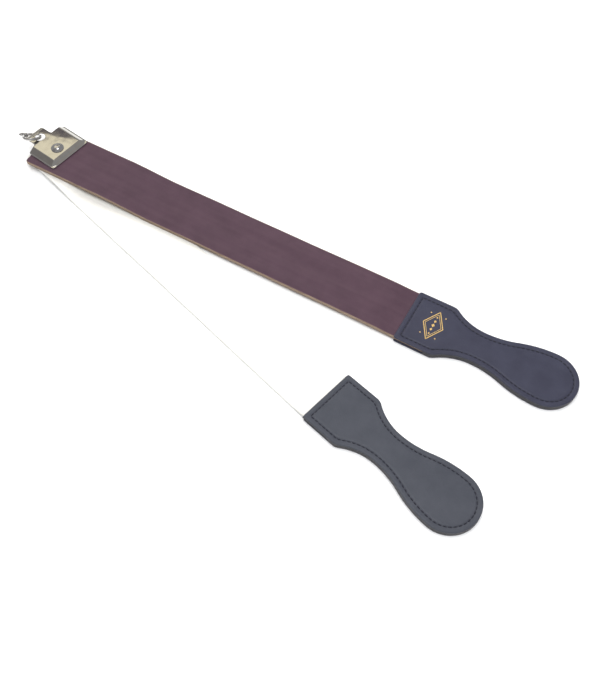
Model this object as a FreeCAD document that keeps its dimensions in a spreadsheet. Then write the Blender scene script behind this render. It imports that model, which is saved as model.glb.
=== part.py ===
import FreeCAD, Part
import math
import os

# Hanging strop: a leather strap and a canvas strap that fan out from one rivet.
# Each strap ends in a stitched paddle handle. A pressed clamp holds the other
# ends, and its neck carries a ring with a small swivel eye.
# Every piece is first placed about the rivet axis: +X runs along the leather
# strap towards its handle, +Z is up, and z = 0 is the surface it lies on.

os.makedirs("parts", exist_ok=True)
doc = FreeCAD.newDocument("hanging_strop")
sheet = doc.addObject("Spreadsheet::Sheet", "Sizes")

DRIVING_SIZES = {
    # straps
    "strap_width": 50.0,
    "strap_tail": 20.0,
    "leather_thick": 3.6,
    "leather_reach": 367.0,
    "canvas_thick": 2.0,
    "canvas_reach": 359.4,
    "fan_angle": 16.3,
    "lap_gap": 0.3,
    "canvas_slope": 28.0,
    "leather_slope": 58.0,
    "entry_run": 25.0,
    "skew_slack": 1.0,
    # handles
    "tongue_length": 26.0,
    "handle_length": 150.0,
    "head_width": 52.6,
    "shoulder_radius": 10.0,
    "neck_place": 65.3,
    "neck_width": 30.6,
    "neck_radius": 48.2,
    "flank_radius": 97.0,
    "bulb_radius": 25.5,
    "handle_skew": 1.7,
    "cover_thick": 1.4,
    "canvas_core_thick": 3.6,
    # stitching
    "stitch_inset": 4.6,
    "groove_width": 1.6,
    "groove_depth": 0.5,
    "stitch_pitch": 3.9,
    "stitch_gap": 1.1,
    "thread_width": 0.9,
    "thread_height": 0.4,
    # clamp
    "plate_rear": 20.8,
    "plate_front": 13.4,
    "plate_width": 45.0,
    "plate_offset": 3.4,
    "back_thick": 1.2,
    "sheet_thick": 1.0,
    "plateau_front": 8.6,
    "plateau_width": 32.0,
    "plateau_rise": 3.6,
    "lip_width": 1.6,
    "tongue_out": 10.7,
    "tongue_width": 20.0,
    "bead_radius": 0.9,
    "eye_place": 23.8,
    "eye_radius": 4.8,
    # rivet
    "rivet_radius": 2.5,
    "rivet_fit": 0.05,
    "head_radius": 6.0,
    "head_height": 2.4,
    "burr_radius": 5.5,
    "burr_thick": 1.5,
    "bush_radius": 4.6,
    # ring and swivel eye
    "ring_radius": 8.0,
    "wire_radius": 1.3,
    "ring_heading": 34.0,
    "ring_tilt": 27.0,
    "boss_angle": 154.0,
    "boss_radius": 2.3,
    "boss_half": 1.7,
    "shank_radius": 1.0,
    "shank_fit": 0.05,
    "end_play": 0.15,
    "peen_radius": 1.8,
    "peen_height": 1.0,
    "loop_radius": 2.0,
    "loop_wire": 1.1,
}

for line, (alias, value) in enumerate(DRIVING_SIZES.items(), start=1):
    sheet.set("A%d" % line, alias)
    sheet.set("B%d" % line, str(value))
    sheet.setAlias("B%d" % line, alias)
doc.recompute()

WORLD_X = FreeCAD.Vector(1, 0, 0)
WORLD_Y = FreeCAD.Vector(0, 1, 0)
WORLD_Z = FreeCAD.Vector(0, 0, 1)


def size(alias):
    """Value of one named size."""
    return float(sheet.get(alias))


def bind(item, **formulas):
    """Tie an object's properties to the sheet; names in a formula are aliases."""
    for prop, formula in formulas.items():
        words = formula.replace("(", " ( ").replace(")", " ) ").split()
        terms = ["Sizes." + word if word in DRIVING_SIZES else word for word in words]
        item.setExpression(prop, " ".join(terms))
    return item


# ---------------------------------------------------------------- levels

BACK_LOW = size("burr_thick")
CANVAS_CLAMPED = BACK_LOW + size("back_thick") + size("lap_gap")
LEATHER_CLAMPED = CANVAS_CLAMPED + size("canvas_thick") + size("lap_gap")
RIM_LOW = LEATHER_CLAMPED + size("leather_thick") + size("lap_gap")
PLATEAU_TOP = RIM_LOW + size("sheet_thick") + size("plateau_rise")
TONGUE_MID = PLATEAU_TOP - size("sheet_thick") / 2
LEATHER_LAID = size("canvas_thick") + size("lap_gap")
# Each strap stays level as far as the corners of what turns below it can reach.
CANVAS_FLAT = math.hypot(size("plate_front"), size("plate_width") / 2 + size("plate_offset")) + 1.0
CANVAS_DOWN = CANVAS_FLAT + size("canvas_slope")
LEATHER_FLAT = math.hypot(CANVAS_DOWN, size("strap_width") / 2)
LEATHER_DOWN = LEATHER_FLAT + size("leather_slope")
SEWN_LEVEL = size("cover_thick")


def placed(x=0.0, y=0.0, z=0.0, turn=0.0):
    """Placement at a point, turned about +Z."""
    return FreeCAD.Placement(FreeCAD.Vector(x, y, z), FreeCAD.Rotation(WORLD_Z, turn))


# ---------------------------------------------------------------- part design helpers


def add_sketch(body, name, geometry, plane="XY_Plane", lift=0.0):
    """Sketch on one of the body's own planes, lifted along the plane's normal."""
    sketch = body.newObject("Sketcher::SketchObject", name)
    origin_plane = [f for f in body.Origin.OriginFeatures if f.Role == plane][0]
    sketch.AttachmentSupport = [(origin_plane, "")]
    sketch.MapMode = "FlatFace"
    sketch.AttachmentOffset = placed(z=lift)
    for item in geometry:
        sketch.addGeometry(item, False)
    return sketch


def segment(start, end):
    """Straight sketch line between two (x, y) points."""
    return Part.LineSegment(FreeCAD.Vector(*start, 0), FreeCAD.Vector(*end, 0))


def closed_lines(points):
    """Closed polygon of sketch lines."""
    return [segment(a, b) for a, b in zip(points, points[1:] + points[:1])]


def rectangle(x_low, x_high, y_low, y_high):
    """Rectangle as sketch lines."""
    return closed_lines([(x_low, y_low), (x_high, y_low), (x_high, y_high), (x_low, y_high)])


def round_outline(radius):
    """Full circle about the sketch origin."""
    return [Part.Circle(FreeCAD.Vector(0, 0, 0), WORLD_Z, radius)]


def new_body(name):
    """Empty design body; its Label is the name of the piece."""
    body = doc.addObject("PartDesign::Body", name)
    body.Label = name
    return body


def pad(body, name, sketch, length, both_sides=False):
    """Pad whose length is a formula of named sizes."""
    feature = body.newObject("PartDesign::Pad", name)
    feature.Profile = sketch
    bind(feature, Length=length)
    feature.Midplane = both_sides
    return feature


def pocket(body, name, sketch, length, upward=False):
    """Pocket of a given depth, downward unless told otherwise."""
    feature = body.newObject("PartDesign::Pocket", name)
    feature.Profile = sketch
    bind(feature, Length=length)
    feature.Reversed = upward
    return feature


def drill(body, name, sketch):
    """Pocket through everything, both ways."""
    feature = body.newObject("PartDesign::Pocket", name)
    feature.Profile = sketch
    feature.Type = "ThroughAll"
    feature.Midplane = True
    return feature


# ---------------------------------------------------------------- handle outline


def arc_between(centre, radius, start, end):
    """Short arc from start to end on a circle about centre."""
    middle_x = (start[0] + end[0]) / 2 - centre[0]
    middle_y = (start[1] + end[1]) / 2 - centre[1]
    reach = radius / math.hypot(middle_x, middle_y)
    middle = FreeCAD.Vector(centre[0] + reach * middle_x, centre[1] + reach * middle_y, 0)
    return Part.Arc(FreeCAD.Vector(*start, 0), middle, FreeCAD.Vector(*end, 0))


def toward(centre, target, distance):
    """Point at a distance from centre in the direction of target."""
    span = math.hypot(target[0] - centre[0], target[1] - centre[1])
    share = distance / span
    return (centre[0] + share * (target[0] - centre[0]), centre[1] + share * (target[1] - centre[1]))


def handle_outline(inset=0.0):
    """Paddle outline from the strap's edge at x = 0, drawn inside by inset."""
    half_head = size("head_width") / 2
    half_neck = size("neck_width") / 2
    neck_r = size("neck_radius")
    flank_r = size("flank_radius")
    bulb_r = size("bulb_radius")
    shoulder_r = size("shoulder_radius")
    neck_x = size("neck_place")
    bulb_x = size("handle_length") - bulb_r
    neck_c = (neck_x, half_neck + neck_r)
    shoulder_y = half_head - shoulder_r
    shoulder_x = neck_x - math.sqrt((neck_r + shoulder_r) ** 2 - (neck_c[1] - shoulder_y) ** 2)
    shoulder_c = (shoulder_x, shoulder_y)
    flank_c = (bulb_x, bulb_r - flank_r)
    # The waist arc leaves the neck and meets the flank arc, tangent to both.
    drop = half_neck - flank_c[1]
    waist_r = ((bulb_x - neck_x) ** 2 + drop**2 - flank_r**2) / (2 * (flank_r - drop))
    waist_c = (neck_x, half_neck + waist_r)
    corner = (inset, half_head - inset)
    head_end = (shoulder_x, half_head - inset)
    shoulder_end = toward(shoulder_c, neck_c, shoulder_r - inset)
    neck_low = (neck_x, half_neck - inset)
    waist_end = toward(waist_c, flank_c, waist_r + inset)
    bulb_top = (bulb_x, bulb_r - inset)
    tip = (bulb_x + bulb_r - inset, 0.0)
    arcs = [
        (shoulder_c, shoulder_r - inset, head_end, shoulder_end),
        (neck_c, neck_r + inset, shoulder_end, neck_low),
        (waist_c, waist_r + inset, neck_low, waist_end),
        (flank_c, flank_r - inset, waist_end, bulb_top),
        ((bulb_x, 0.0), bulb_r - inset, bulb_top, tip),
    ]
    curves = [segment((inset, inset - half_head), corner)]
    for side in (1, -1):
        curves.append(segment((corner[0], side * corner[1]), (head_end[0], side * head_end[1])))
        for centre, radius, start, end in arcs:
            centre, start, end = ((x, side * y) for x, y in (centre, start, end))
            curves.append(arc_between(centre, radius, start, end))
    return curves


def groove_outline():
    """Both sides of the stitching groove."""
    half = size("groove_width") / 2
    return handle_outline(size("stitch_inset") - half) + handle_outline(size("stitch_inset") + half)


def thread_bar(start, end):
    """One stitch between two points, short of both by half the gap."""
    run = end - start
    length = run.Length - size("stitch_gap")
    bar = Part.makeBox(length, size("thread_width"), size("thread_height"))
    bar.translate(FreeCAD.Vector(-length / 2, -size("thread_width") / 2, 0))
    bar.rotate(FreeCAD.Vector(0, 0, 0), WORLD_Z, math.degrees(math.atan2(run.y, run.x)))
    bar.translate((start + end) / 2)
    return bar


def stitch_shapes():
    """Separate thread bars: one row across the strap's end, one row round the paddle."""
    edges = [curve.toShape() for curve in handle_outline(size("stitch_inset"))]
    bars = []
    for row in (edges[:1], edges[1:]):
        wire = Part.Wire(Part.__sortEdges__(row))
        count = int(round(wire.Length / size("stitch_pitch")))
        points = wire.discretize(Number=count + 1)
        bars += [thread_bar(start, end) for start, end in zip(points, points[1:])]
    return Part.makeCompound(bars)


# ---------------------------------------------------------------- straps


def strap_body(name, thickness, flat_end, down_end, levels, reach):
    """Strap with a side profile that comes down from the clamp and enters its handle."""
    body = new_body(name)
    thick = size(thickness)
    clamped, laid = levels
    tail_x = -size("strap_tail")
    entry_end = size(reach) - size("skew_slack")
    entry_start = entry_end - size("entry_run")
    end_x = size(reach) + size("tongue_length")
    lower = [(tail_x, clamped), (flat_end, clamped), (down_end, laid), (entry_start, laid)]
    lower += [(entry_end, SEWN_LEVEL), (end_x, SEWN_LEVEL)]
    upper = [(x, z + thick) for x, z in reversed(lower)]
    profile = add_sketch(body, name + "_profile", closed_lines(lower + upper), "XZ_Plane")
    pad(body, name + "_pad", profile, "strap_width", both_sides=True)
    hole = add_sketch(body, name + "_hole", round_outline(size("rivet_radius") + size("rivet_fit")))
    drill(body, name + "_rivet_hole", hole)
    return body


# ---------------------------------------------------------------- handle pieces


def top_cover(name):
    """Upper leather of a handle, grooved for its stitching."""
    body = new_body(name)
    pad(body, name + "_pad", add_sketch(body, name + "_outline", handle_outline()), "cover_thick")
    track = add_sketch(body, name + "_track", groove_outline(), lift=size("cover_thick"))
    pocket(body, name + "_groove", track, "groove_depth")
    return body


def bottom_cover(name):
    """Lower leather of a handle, grooved on its underside."""
    body = new_body(name)
    pad(body, name + "_pad", add_sketch(body, name + "_outline", handle_outline()), "cover_thick")
    track = add_sketch(body, name + "_track", groove_outline())
    pocket(body, name + "_groove", track, "groove_depth", upward=True)
    return body


def handle_core(name, thick, tongue_thick):
    """Filler between the covers, cut away where the strap's tongue is sewn in."""
    body = new_body(name)
    pad(body, name + "_pad", add_sketch(body, name + "_outline", handle_outline()), thick)
    half = size("head_width") / 2 + 1
    cut = rectangle(-1, size("tongue_length") + size("skew_slack"), -half, half)
    track = add_sketch(body, name + "_seat_outline", cut)
    pocket(body, name + "_seat", track, tongue_thick, upward=True)
    return body


def thread_group(name):
    """One side's stitches, as a group of separate bars."""
    item = doc.addObject("Part::Feature", name)
    item.Shape = stitch_shapes()
    item.Label = name
    return item


# ---------------------------------------------------------------- clamp


def frustum(name, bottom, top, low, high, side=0.0):
    """Four-sided frustum: bottom and top are (rear, front, half width) formulas."""
    item = doc.addObject("Part::Wedge", name)
    bind(item, Xmin="-1 * ( %s )" % bottom[0], Xmax=bottom[1])
    bind(item, Zmin="-1 * ( %s )" % bottom[2], Zmax=bottom[2])
    bind(item, X2min="-1 * ( %s )" % top[0], X2max=top[1])
    bind(item, Z2min="-1 * ( %s )" % top[2], Z2max=top[2])
    bind(item, Ymin="0 * lip_width", Ymax="%s" % high)
    item.Placement = FreeCAD.Placement(FreeCAD.Vector(0, side, low), FreeCAD.Rotation(WORLD_X, 90))
    return item


def block(name, length, width, height, x=0.0, z=0.0, side=0.0):
    """Box centred across the clamp; its width is one named size."""
    item = bind(doc.addObject("Part::Box", name), Length=length, Width=width, Height=height)
    item.Placement = placed(x, side - size(width) / 2, z)
    return item


def post(name, radius, height, x=0.0, z=0.0):
    """Upright cylinder."""
    item = bind(doc.addObject("Part::Cylinder", name), Radius=radius, Height=height)
    item.Placement = placed(x, 0.0, z)
    return item


def joined(name, shapes):
    """Fuse of several objects."""
    item = doc.addObject("Part::MultiFuse", name)
    item.Shapes = shapes
    return item


def cut_from(name, base, tool):
    """Base with the tool taken away."""
    item = doc.addObject("Part::Cut", name)
    item.Base = base
    item.Tool = tool
    return item


def clamp_front_plate():
    """Pressed sheet: flat lip, bevelled plateau, and a neck with the ring's eye."""
    rim = block("rim", "plate_rear + plate_front", "plate_width", "sheet_thick",
                x=-size("plate_rear"), z=RIM_LOW, side=size("plate_offset"))
    outer = frustum(
        "plateau_outside",
        ("plate_rear", "plate_front - lip_width", "plate_width / 2 - lip_width"),
        ("plate_rear", "plateau_front", "plateau_width / 2"),
        RIM_LOW, "sheet_thick + plateau_rise", side=size("plate_offset"))
    hollow = frustum(
        "plateau_inside",
        ("plate_rear - sheet_thick", "plate_front - lip_width - 2 * sheet_thick",
         "plate_width / 2 - lip_width - 2 * sheet_thick"),
        ("plate_rear - sheet_thick", "plateau_front - sheet_thick", "plateau_width / 2 - sheet_thick"),
        RIM_LOW, "plateau_rise", side=size("plate_offset"))
    neck = block("neck", "tongue_out + sheet_thick", "tongue_width", "sheet_thick",
                 x=-size("plate_rear") - size("tongue_out"), z=PLATEAU_TOP - size("sheet_thick"))
    bead = bind(doc.addObject("Part::Cylinder", "bead"), Radius="bead_radius", Height="tongue_width")
    bead_spot = FreeCAD.Vector(-size("plate_rear") - size("tongue_out"), size("tongue_width") / 2, TONGUE_MID)
    bead.Placement = FreeCAD.Placement(bead_spot, FreeCAD.Rotation(WORLD_X, 90))
    eye = post("eye", "eye_radius", "4 * sheet_thick", x=-size("eye_place"), z=TONGUE_MID - 2 * size("sheet_thick"))
    hole = post("front_hole", "rivet_radius + rivet_fit", "4 * plateau_rise", z=RIM_LOW - 1)
    solid = joined("front_blank", [rim, outer, neck, bead])
    item = cut_from("clamp_front_plate", solid, joined("front_cuts", [hollow, eye, hole]))
    item.Label = "clamp_front_plate"
    return item


def clamp_back_plate():
    """Flat plate under the straps."""
    body = new_body("clamp_back_plate")
    half = size("plate_width") / 2
    side = size("plate_offset")
    outline = rectangle(-size("plate_rear"), size("plate_front"), side - half, side + half)
    pad(body, "back_pad", add_sketch(body, "back_outline", outline), "back_thick")
    hole = round_outline(size("rivet_radius") + size("rivet_fit"))
    drill(body, "back_rivet_hole", add_sketch(body, "back_hole", hole))
    return body


def turned(body_name, profile):
    """Body turned about its own Z axis from a half profile of (radius, z) curves."""
    body = new_body(body_name)
    sketch = add_sketch(body, body_name + "_profile", profile, "XZ_Plane")
    feature = body.newObject("PartDesign::Revolution", body_name + "_turning")
    feature.Profile = sketch
    feature.ReferenceAxis = (sketch, ["V_Axis"])
    feature.Angle = 360
    return body


def rivet():
    """Domed rivet whose shank is the straps' pivot."""
    shank = size("rivet_radius")
    head = size("head_radius")
    rise = size("head_height")
    low = size("thread_height") / 2
    # The dome is a circular arc from the crown to the rim, over a short straight edge.
    rim = 0.4
    dome = rise - rim
    dome_r = (head**2 + dome**2) / (2 * dome)
    crown = (0.0, PLATEAU_TOP + rise)
    rim_top = (head, PLATEAU_TOP + rim)
    profile = [
        segment((0.0, low), (shank, low)),
        segment((shank, low), (shank, PLATEAU_TOP)),
        segment((shank, PLATEAU_TOP), (head, PLATEAU_TOP)),
        segment((head, PLATEAU_TOP), rim_top),
        arc_between((0.0, crown[1] - dome_r), dome_r, rim_top, crown),
        segment(crown, (0.0, low)),
    ]
    return turned("rivet", profile)


def washer(name, inner, outer, thick):
    """Flat ring turned from a rectangle; the sizes are values."""
    return turned(name, rectangle(inner, outer, 0.0, thick))


# ---------------------------------------------------------------- ring and swivel eye

RING_HEADING = size("ring_heading")
RING_CENTRE = FreeCAD.Vector(
    -size("eye_place") - size("ring_radius") * math.cos(math.radians(RING_HEADING)),
    -size("ring_radius") * math.sin(math.radians(RING_HEADING)),
    TONGUE_MID,
)
RING_PLACE = FreeCAD.Placement(RING_CENTRE, FreeCAD.Rotation(WORLD_Z, RING_HEADING)).multiply(
    FreeCAD.Placement(FreeCAD.Vector(0, 0, 0), FreeCAD.Rotation(WORLD_X, -size("ring_tilt")))
)


def along_boss(distance, spin=0.0):
    """Placement whose +Z points out of the ring through the boss."""
    turn = FreeCAD.Placement(FreeCAD.Vector(0, 0, 0), FreeCAD.Rotation(WORLD_Z, size("boss_angle")))
    lay = FreeCAD.Placement(FreeCAD.Vector(distance, 0, 0), FreeCAD.Rotation(WORLD_Y, 90))
    return turn.multiply(lay).multiply(placed(turn=spin))


def hanging_ring():
    """Wire ring with a short bored boss for the swivel eye."""
    wire = bind(doc.addObject("Part::Torus", "ring_wire"), Radius1="ring_radius", Radius2="wire_radius")
    boss = bind(doc.addObject("Part::Cylinder", "ring_boss"), Radius="boss_radius", Height="2 * boss_half")
    boss.Placement = along_boss(size("ring_radius") - size("boss_half"))
    bore = bind(doc.addObject("Part::Cylinder", "ring_bore"), Radius="shank_radius + shank_fit",
                Height="4 * boss_half")
    bore.Placement = along_boss(size("ring_radius") - 2 * size("boss_half"))
    item = cut_from("hanging_ring", joined("ring_blank", [wire, boss]), bore)
    item.Label = "hanging_ring"
    return item


def swivel_eye():
    """Small eye whose shank turns in the boss and is peened over inside the ring."""
    inside = size("ring_radius") - size("boss_half") - size("end_play")
    outside = size("ring_radius") + size("boss_half") + size("end_play")
    loop_centre = outside + size("loop_radius") + size("loop_wire")
    shank = bind(doc.addObject("Part::Cylinder", "eye_shank"), Radius="shank_radius",
                 Height="2 * boss_half + 2 * end_play + loop_wire + peen_height")
    shank.Placement = along_boss(inside - size("peen_height"))
    peen = bind(doc.addObject("Part::Cone", "eye_peen"), Radius1="shank_radius + end_play",
                Radius2="peen_radius", Height="peen_height")
    peen.Placement = along_boss(inside - size("peen_height"))
    collar = bind(doc.addObject("Part::Cylinder", "eye_collar"), Radius="peen_radius",
                  Height="loop_wire")
    collar.Placement = along_boss(outside)
    loop = bind(doc.addObject("Part::Torus", "eye_loop"), Radius1="loop_radius", Radius2="loop_wire")
    loop_turn = FreeCAD.Placement(FreeCAD.Vector(0, 0, 0), FreeCAD.Rotation(WORLD_X, 90))
    loop.Placement = along_boss(loop_centre, spin=90.0).multiply(loop_turn)
    item = joined("swivel_eye", [shank, peen, collar, loop])
    item.Label = "swivel_eye"
    return item


# ---------------------------------------------------------------- assembly

pieces = {}


def keep(item, placement):
    """Record a finished piece and its place about the rivet."""
    pieces[item.Label] = (item, placement)


# The clamp rests halfway between the two straps.
CLAMP = placed(turn=-size("fan_angle") / 2)
keep(clamp_front_plate(), CLAMP)
keep(clamp_back_plate(), CLAMP.multiply(placed(z=BACK_LOW)))
keep(rivet(), placed())
keep(washer("rivet_burr", size("rivet_radius"), size("burr_radius"), size("burr_thick")), placed())
BUSH_LOW = LEATHER_CLAMPED + size("leather_thick") + size("lap_gap")
BUSH_HEIGHT = PLATEAU_TOP - size("sheet_thick") - BUSH_LOW
keep(washer("spacer_bush", size("rivet_radius"), size("bush_radius"), BUSH_HEIGHT), placed(z=BUSH_LOW))
keep(hanging_ring(), CLAMP.multiply(RING_PLACE))
keep(swivel_eye(), CLAMP.multiply(RING_PLACE))

leather_levels = (LEATHER_CLAMPED, LEATHER_LAID)
leather_strap = strap_body("leather_strap", "leather_thick", LEATHER_FLAT, LEATHER_DOWN,
                           leather_levels, "leather_reach")
keep(leather_strap, placed())
canvas_levels = (CANVAS_CLAMPED, 0.0)
canvas_strap = strap_body("canvas_strap", "canvas_thick", CANVAS_FLAT, CANVAS_DOWN,
                          canvas_levels, "canvas_reach")
FAN = placed(turn=-size("fan_angle"))
keep(canvas_strap, FAN)

LEATHER_HANDLE = placed(x=size("leather_reach"))
CANVAS_HANDLE = FAN.multiply(placed(x=size("canvas_reach"), turn=size("handle_skew")))

for prefix, core_thick, tongue_thick, root in (
    ("leather_handle", "leather_thick", "leather_thick", LEATHER_HANDLE),
    ("canvas_handle", "canvas_core_thick", "canvas_thick", CANVAS_HANDLE),
):
    top_low = SEWN_LEVEL + size(core_thick)
    top_high = top_low + size("cover_thick")
    keep(bottom_cover(prefix + "_bottom_cover"), root)
    keep(handle_core(prefix + "_core", core_thick, tongue_thick), root.multiply(placed(z=SEWN_LEVEL)))
    keep(top_cover(prefix + "_top_cover"), root.multiply(placed(z=top_low)))
    thread_floor = top_high - size("groove_depth")
    keep(thread_group(prefix + "_top_thread"), root.multiply(placed(z=thread_floor)))
    bobbin_level = size("groove_depth") - size("thread_height")
    keep(thread_group(prefix + "_bobbin_thread"), root.multiply(placed(z=bobbin_level)))

doc.recompute()


def whole_box():
    """Box round every piece."""
    box = FreeCAD.BoundBox()
    for item, _ in pieces.values():
        box.add(item.Shape.optimalBoundingBox(True, False))
    return box


for item, placement in pieces.values():
    item.Placement = placement
doc.recompute()

# The row's origin is the middle of the whole footprint, on the surface below.
box = whole_box()
shift = FreeCAD.Placement(FreeCAD.Vector(-box.Center.x, -box.Center.y, -box.ZMin), FreeCAD.Rotation())
for item, placement in pieces.values():
    item.Placement = shift.multiply(placement)
doc.recompute()

# ---------------------------------------------------------------- checks and export

failed = [o.Label for o in doc.Objects if "Invalid" in o.State or "Error" in o.State]
if failed:
    raise RuntimeError("failed objects: " + ", ".join(failed))
for name, (item, _) in pieces.items():
    if item.Shape.isNull() or not item.Shape.isValid():
        raise RuntimeError("bad shape: " + name)
    item.Shape.exportStep("parts/%s.step" % name)
    found = item.Shape.optimalBoundingBox(True, False)
    print("%-32s %9.1f mm3  x %7.1f %7.1f  y %7.1f %7.1f  z %5.2f %5.2f" % (
        name, item.Shape.Volume, found.XMin, found.XMax, found.YMin, found.YMax, found.ZMin, found.ZMax))
print("shift of the rivet axis: %.4f %.4f %.4f" % tuple(shift.Base))
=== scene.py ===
import logging
import math
import random
from dataclasses import dataclass, field
from enum import Enum
from typing import Callable, Iterable, Sequence

import bmesh
import bpy
from bpy.types import Material, Node, NodeSocket, NodeTree, Object
from mathutils import Matrix, Vector
from mathutils.bvhtree import BVHTree
from mathutils.geometry import delaunay_2d_cdt


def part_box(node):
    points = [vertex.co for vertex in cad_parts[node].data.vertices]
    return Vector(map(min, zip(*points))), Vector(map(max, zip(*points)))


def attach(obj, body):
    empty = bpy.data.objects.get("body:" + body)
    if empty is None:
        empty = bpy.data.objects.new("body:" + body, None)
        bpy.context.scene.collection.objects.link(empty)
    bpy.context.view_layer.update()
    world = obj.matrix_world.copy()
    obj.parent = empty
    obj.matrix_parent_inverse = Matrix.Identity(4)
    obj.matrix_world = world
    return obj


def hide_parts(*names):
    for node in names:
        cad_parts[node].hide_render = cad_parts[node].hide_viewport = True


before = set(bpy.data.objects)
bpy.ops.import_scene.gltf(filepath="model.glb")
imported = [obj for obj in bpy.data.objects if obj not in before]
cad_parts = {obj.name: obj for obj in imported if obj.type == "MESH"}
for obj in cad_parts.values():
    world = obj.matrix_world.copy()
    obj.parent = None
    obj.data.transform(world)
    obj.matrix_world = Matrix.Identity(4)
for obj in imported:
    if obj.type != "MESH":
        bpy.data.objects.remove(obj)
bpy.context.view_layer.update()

logging.basicConfig(level=logging.INFO, format="%(message)s")
LOG = logging.getLogger("strop")

MM = 0.001
Colour = tuple[float, float, float, float]
Point = tuple[float, float]
Triple = tuple[float, float, float]
Drop = Callable[[float, float], Vector]

# Material numbers of a strap's faces.
UPPER, EDGE, UNDER = 0, 1, 2

# Sockets of the colour mixing node.
MIX_SHARE, MIX_ONE, MIX_TWO, MIX_RESULT = 0, 6, 7, 2


class Body(Enum):
    """The CAD bodies that pieces ride on."""

    CLAMP = "clamp"
    LEATHER = "leather_strop"
    CANVAS = "canvas_strop"
    RING = "ring"
    SWIVEL = "swivel"


class Slot(Enum):
    """The record's material slots."""

    NICKEL = "nickel"
    RIVET = "rivet_nickel"
    RING = "ring_nickel"
    STROP = "strop_leather"
    CANVAS = "canvas"
    HANDLE = "handle_leather"
    THREAD = "thread"


class Facing(Enum):
    """Which way a cover looks."""

    UP = 1
    DOWN = -1


# --- places


@dataclass
class Seat:
    """A local frame in millimetres, lying flat in the row frame."""

    origin: Vector
    turn: float = 0.0

    def at(self, x: float, y: float, z: float) -> Vector:
        """Point of the row frame, in metres, for a local point in millimetres."""
        flat = Matrix.Rotation(math.radians(self.turn), 3, "Z") @ Vector((x, y, z))
        return self.origin + flat * MM

    def moved(self, x: float, turn: float) -> "Seat":
        """Seat further along this one's X axis, turned by some degrees."""
        return Seat(self.at(x, 0, 0), self.turn + turn)


def middle_of(node: str) -> Vector:
    """Middle of a CAD node's box, dropped to the surface it lies on."""
    low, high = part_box(node)
    return Vector(((low.x + high.x) / 2, (low.y + high.y) / 2, 0.0))


def level(node: str, top: bool = False) -> float:
    """Lowest or highest level of a CAD node, in millimetres."""
    low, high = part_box(node)
    return (high.z if top else low.z) / MM


def ease(share: float) -> float:
    """Smooth step from 0 to 1."""
    share = min(1.0, max(0.0, share))
    return share * share * (3 - 2 * share)


def between(one: Point, two: Point, share: float) -> Point:
    """Flat point part of the way from one to another."""
    return (one[0] + share * (two[0] - one[0]), one[1] + share * (two[1] - one[1]))


# --- mesh building


@dataclass
class Build:
    """Vertices and faces of one piece while it is made."""

    verts: list[Vector] = field(default_factory=list)
    faces: list[tuple[int, ...]] = field(default_factory=list)
    dress: list[int] = field(default_factory=list)
    lay: list[Triple] = field(default_factory=list)

    def ring(self, points: Iterable[Vector],
             lay: Iterable[Sequence[float]] | None = None) -> list[int]:
        """Add vertices and return their numbers.

        Args:
            points: Places in the row frame, in metres.
            lay: Coordinates along the piece, used by its material.

        Returns:
            The new vertex numbers.
        """
        start = len(self.verts)
        self.verts.extend(points)
        self.lay.extend(tuple(p) for p in (self.verts[start:] if lay is None else lay))
        return list(range(start, len(self.verts)))

    def face(self, numbers: Sequence[int], dress: int = 0) -> None:
        """Add one face with a material number."""
        self.faces.append(tuple(numbers))
        self.dress.append(dress)

    def bridge(self, one: list[int], two: list[int]) -> None:
        """Join two rings of equal length with quads."""
        for i in range(len(one)):
            j = (i + 1) % len(one)
            self.face((one[i], one[j], two[j], two[i]))

    def fan(self, ring: list[int], centre: int, flip: bool = False) -> None:
        """Close a ring with triangles to one vertex."""
        for i, first in enumerate(ring):
            second = ring[(i + 1) % len(ring)]
            self.face((second, first, centre) if flip else (first, second, centre))

    def piece(self, name: str, merge: float = 1e-6) -> Object:
        """Finished object with outward faces.

        Args:
            name: Name of the piece.
            merge: Vertices nearer than this are joined, in metres.

        Returns:
            The new object, linked to the scene.
        """
        mesh = bpy.data.meshes.new(name)
        mesh.from_pydata([tuple(v) for v in self.verts], [], self.faces)
        mesh.polygons.foreach_set("material_index", self.dress)
        layer = mesh.attributes.new("lay", "FLOAT_VECTOR", "POINT")
        layer.data.foreach_set("vector", [c for p in self.lay for c in p])
        mesh.validate()
        item = bpy.data.objects.new(name, mesh)
        bpy.context.scene.collection.objects.link(item)
        clean(item, merge)
        mesh.polygons.foreach_set("use_smooth", [True] * len(mesh.polygons))
        mesh.update()
        return item


def clean(item: Object, merge: float) -> None:
    """Merge doubled vertices, drop empty faces and turn all faces outward."""
    work = bmesh.new()
    work.from_mesh(item.data)
    bmesh.ops.remove_doubles(work, verts=work.verts, dist=merge)
    bmesh.ops.dissolve_degenerate(work, edges=work.edges, dist=merge)
    bmesh.ops.recalc_face_normals(work, faces=work.faces)
    work.to_mesh(item.data)
    work.free()


def crease(item: Object, degrees: float) -> None:
    """Keep edges sharper than an angle crisp."""
    item.data.set_sharp_from_angle(angle=math.radians(degrees))


def turned_rings(build: Build, place: Matrix, profile: Sequence[Point], steps: int) -> None:
    """Turn a profile about the local Z axis; a radius of 0 closes the end.

    Args:
        build: Where the faces go.
        place: From local metres to the row frame.
        profile: (radius, height) points in metres, from one end to the other.
        steps: Faces round the axis.
    """
    last: list[int] = []
    for radius, height in profile:
        if radius == 0:
            ring = build.ring([place @ Vector((0, 0, height))])
        else:
            angles = (2 * math.pi * i / steps for i in range(steps))
            spots = [Vector((radius * math.cos(a), radius * math.sin(a), height)) for a in angles]
            ring = build.ring([place @ p for p in spots])
        if last and len(last) == 1:
            build.fan(ring, last[0], flip=True)
        elif last and len(ring) == 1:
            build.fan(last, ring[0])
        elif last:
            build.bridge(last, ring)
        last = ring


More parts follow.
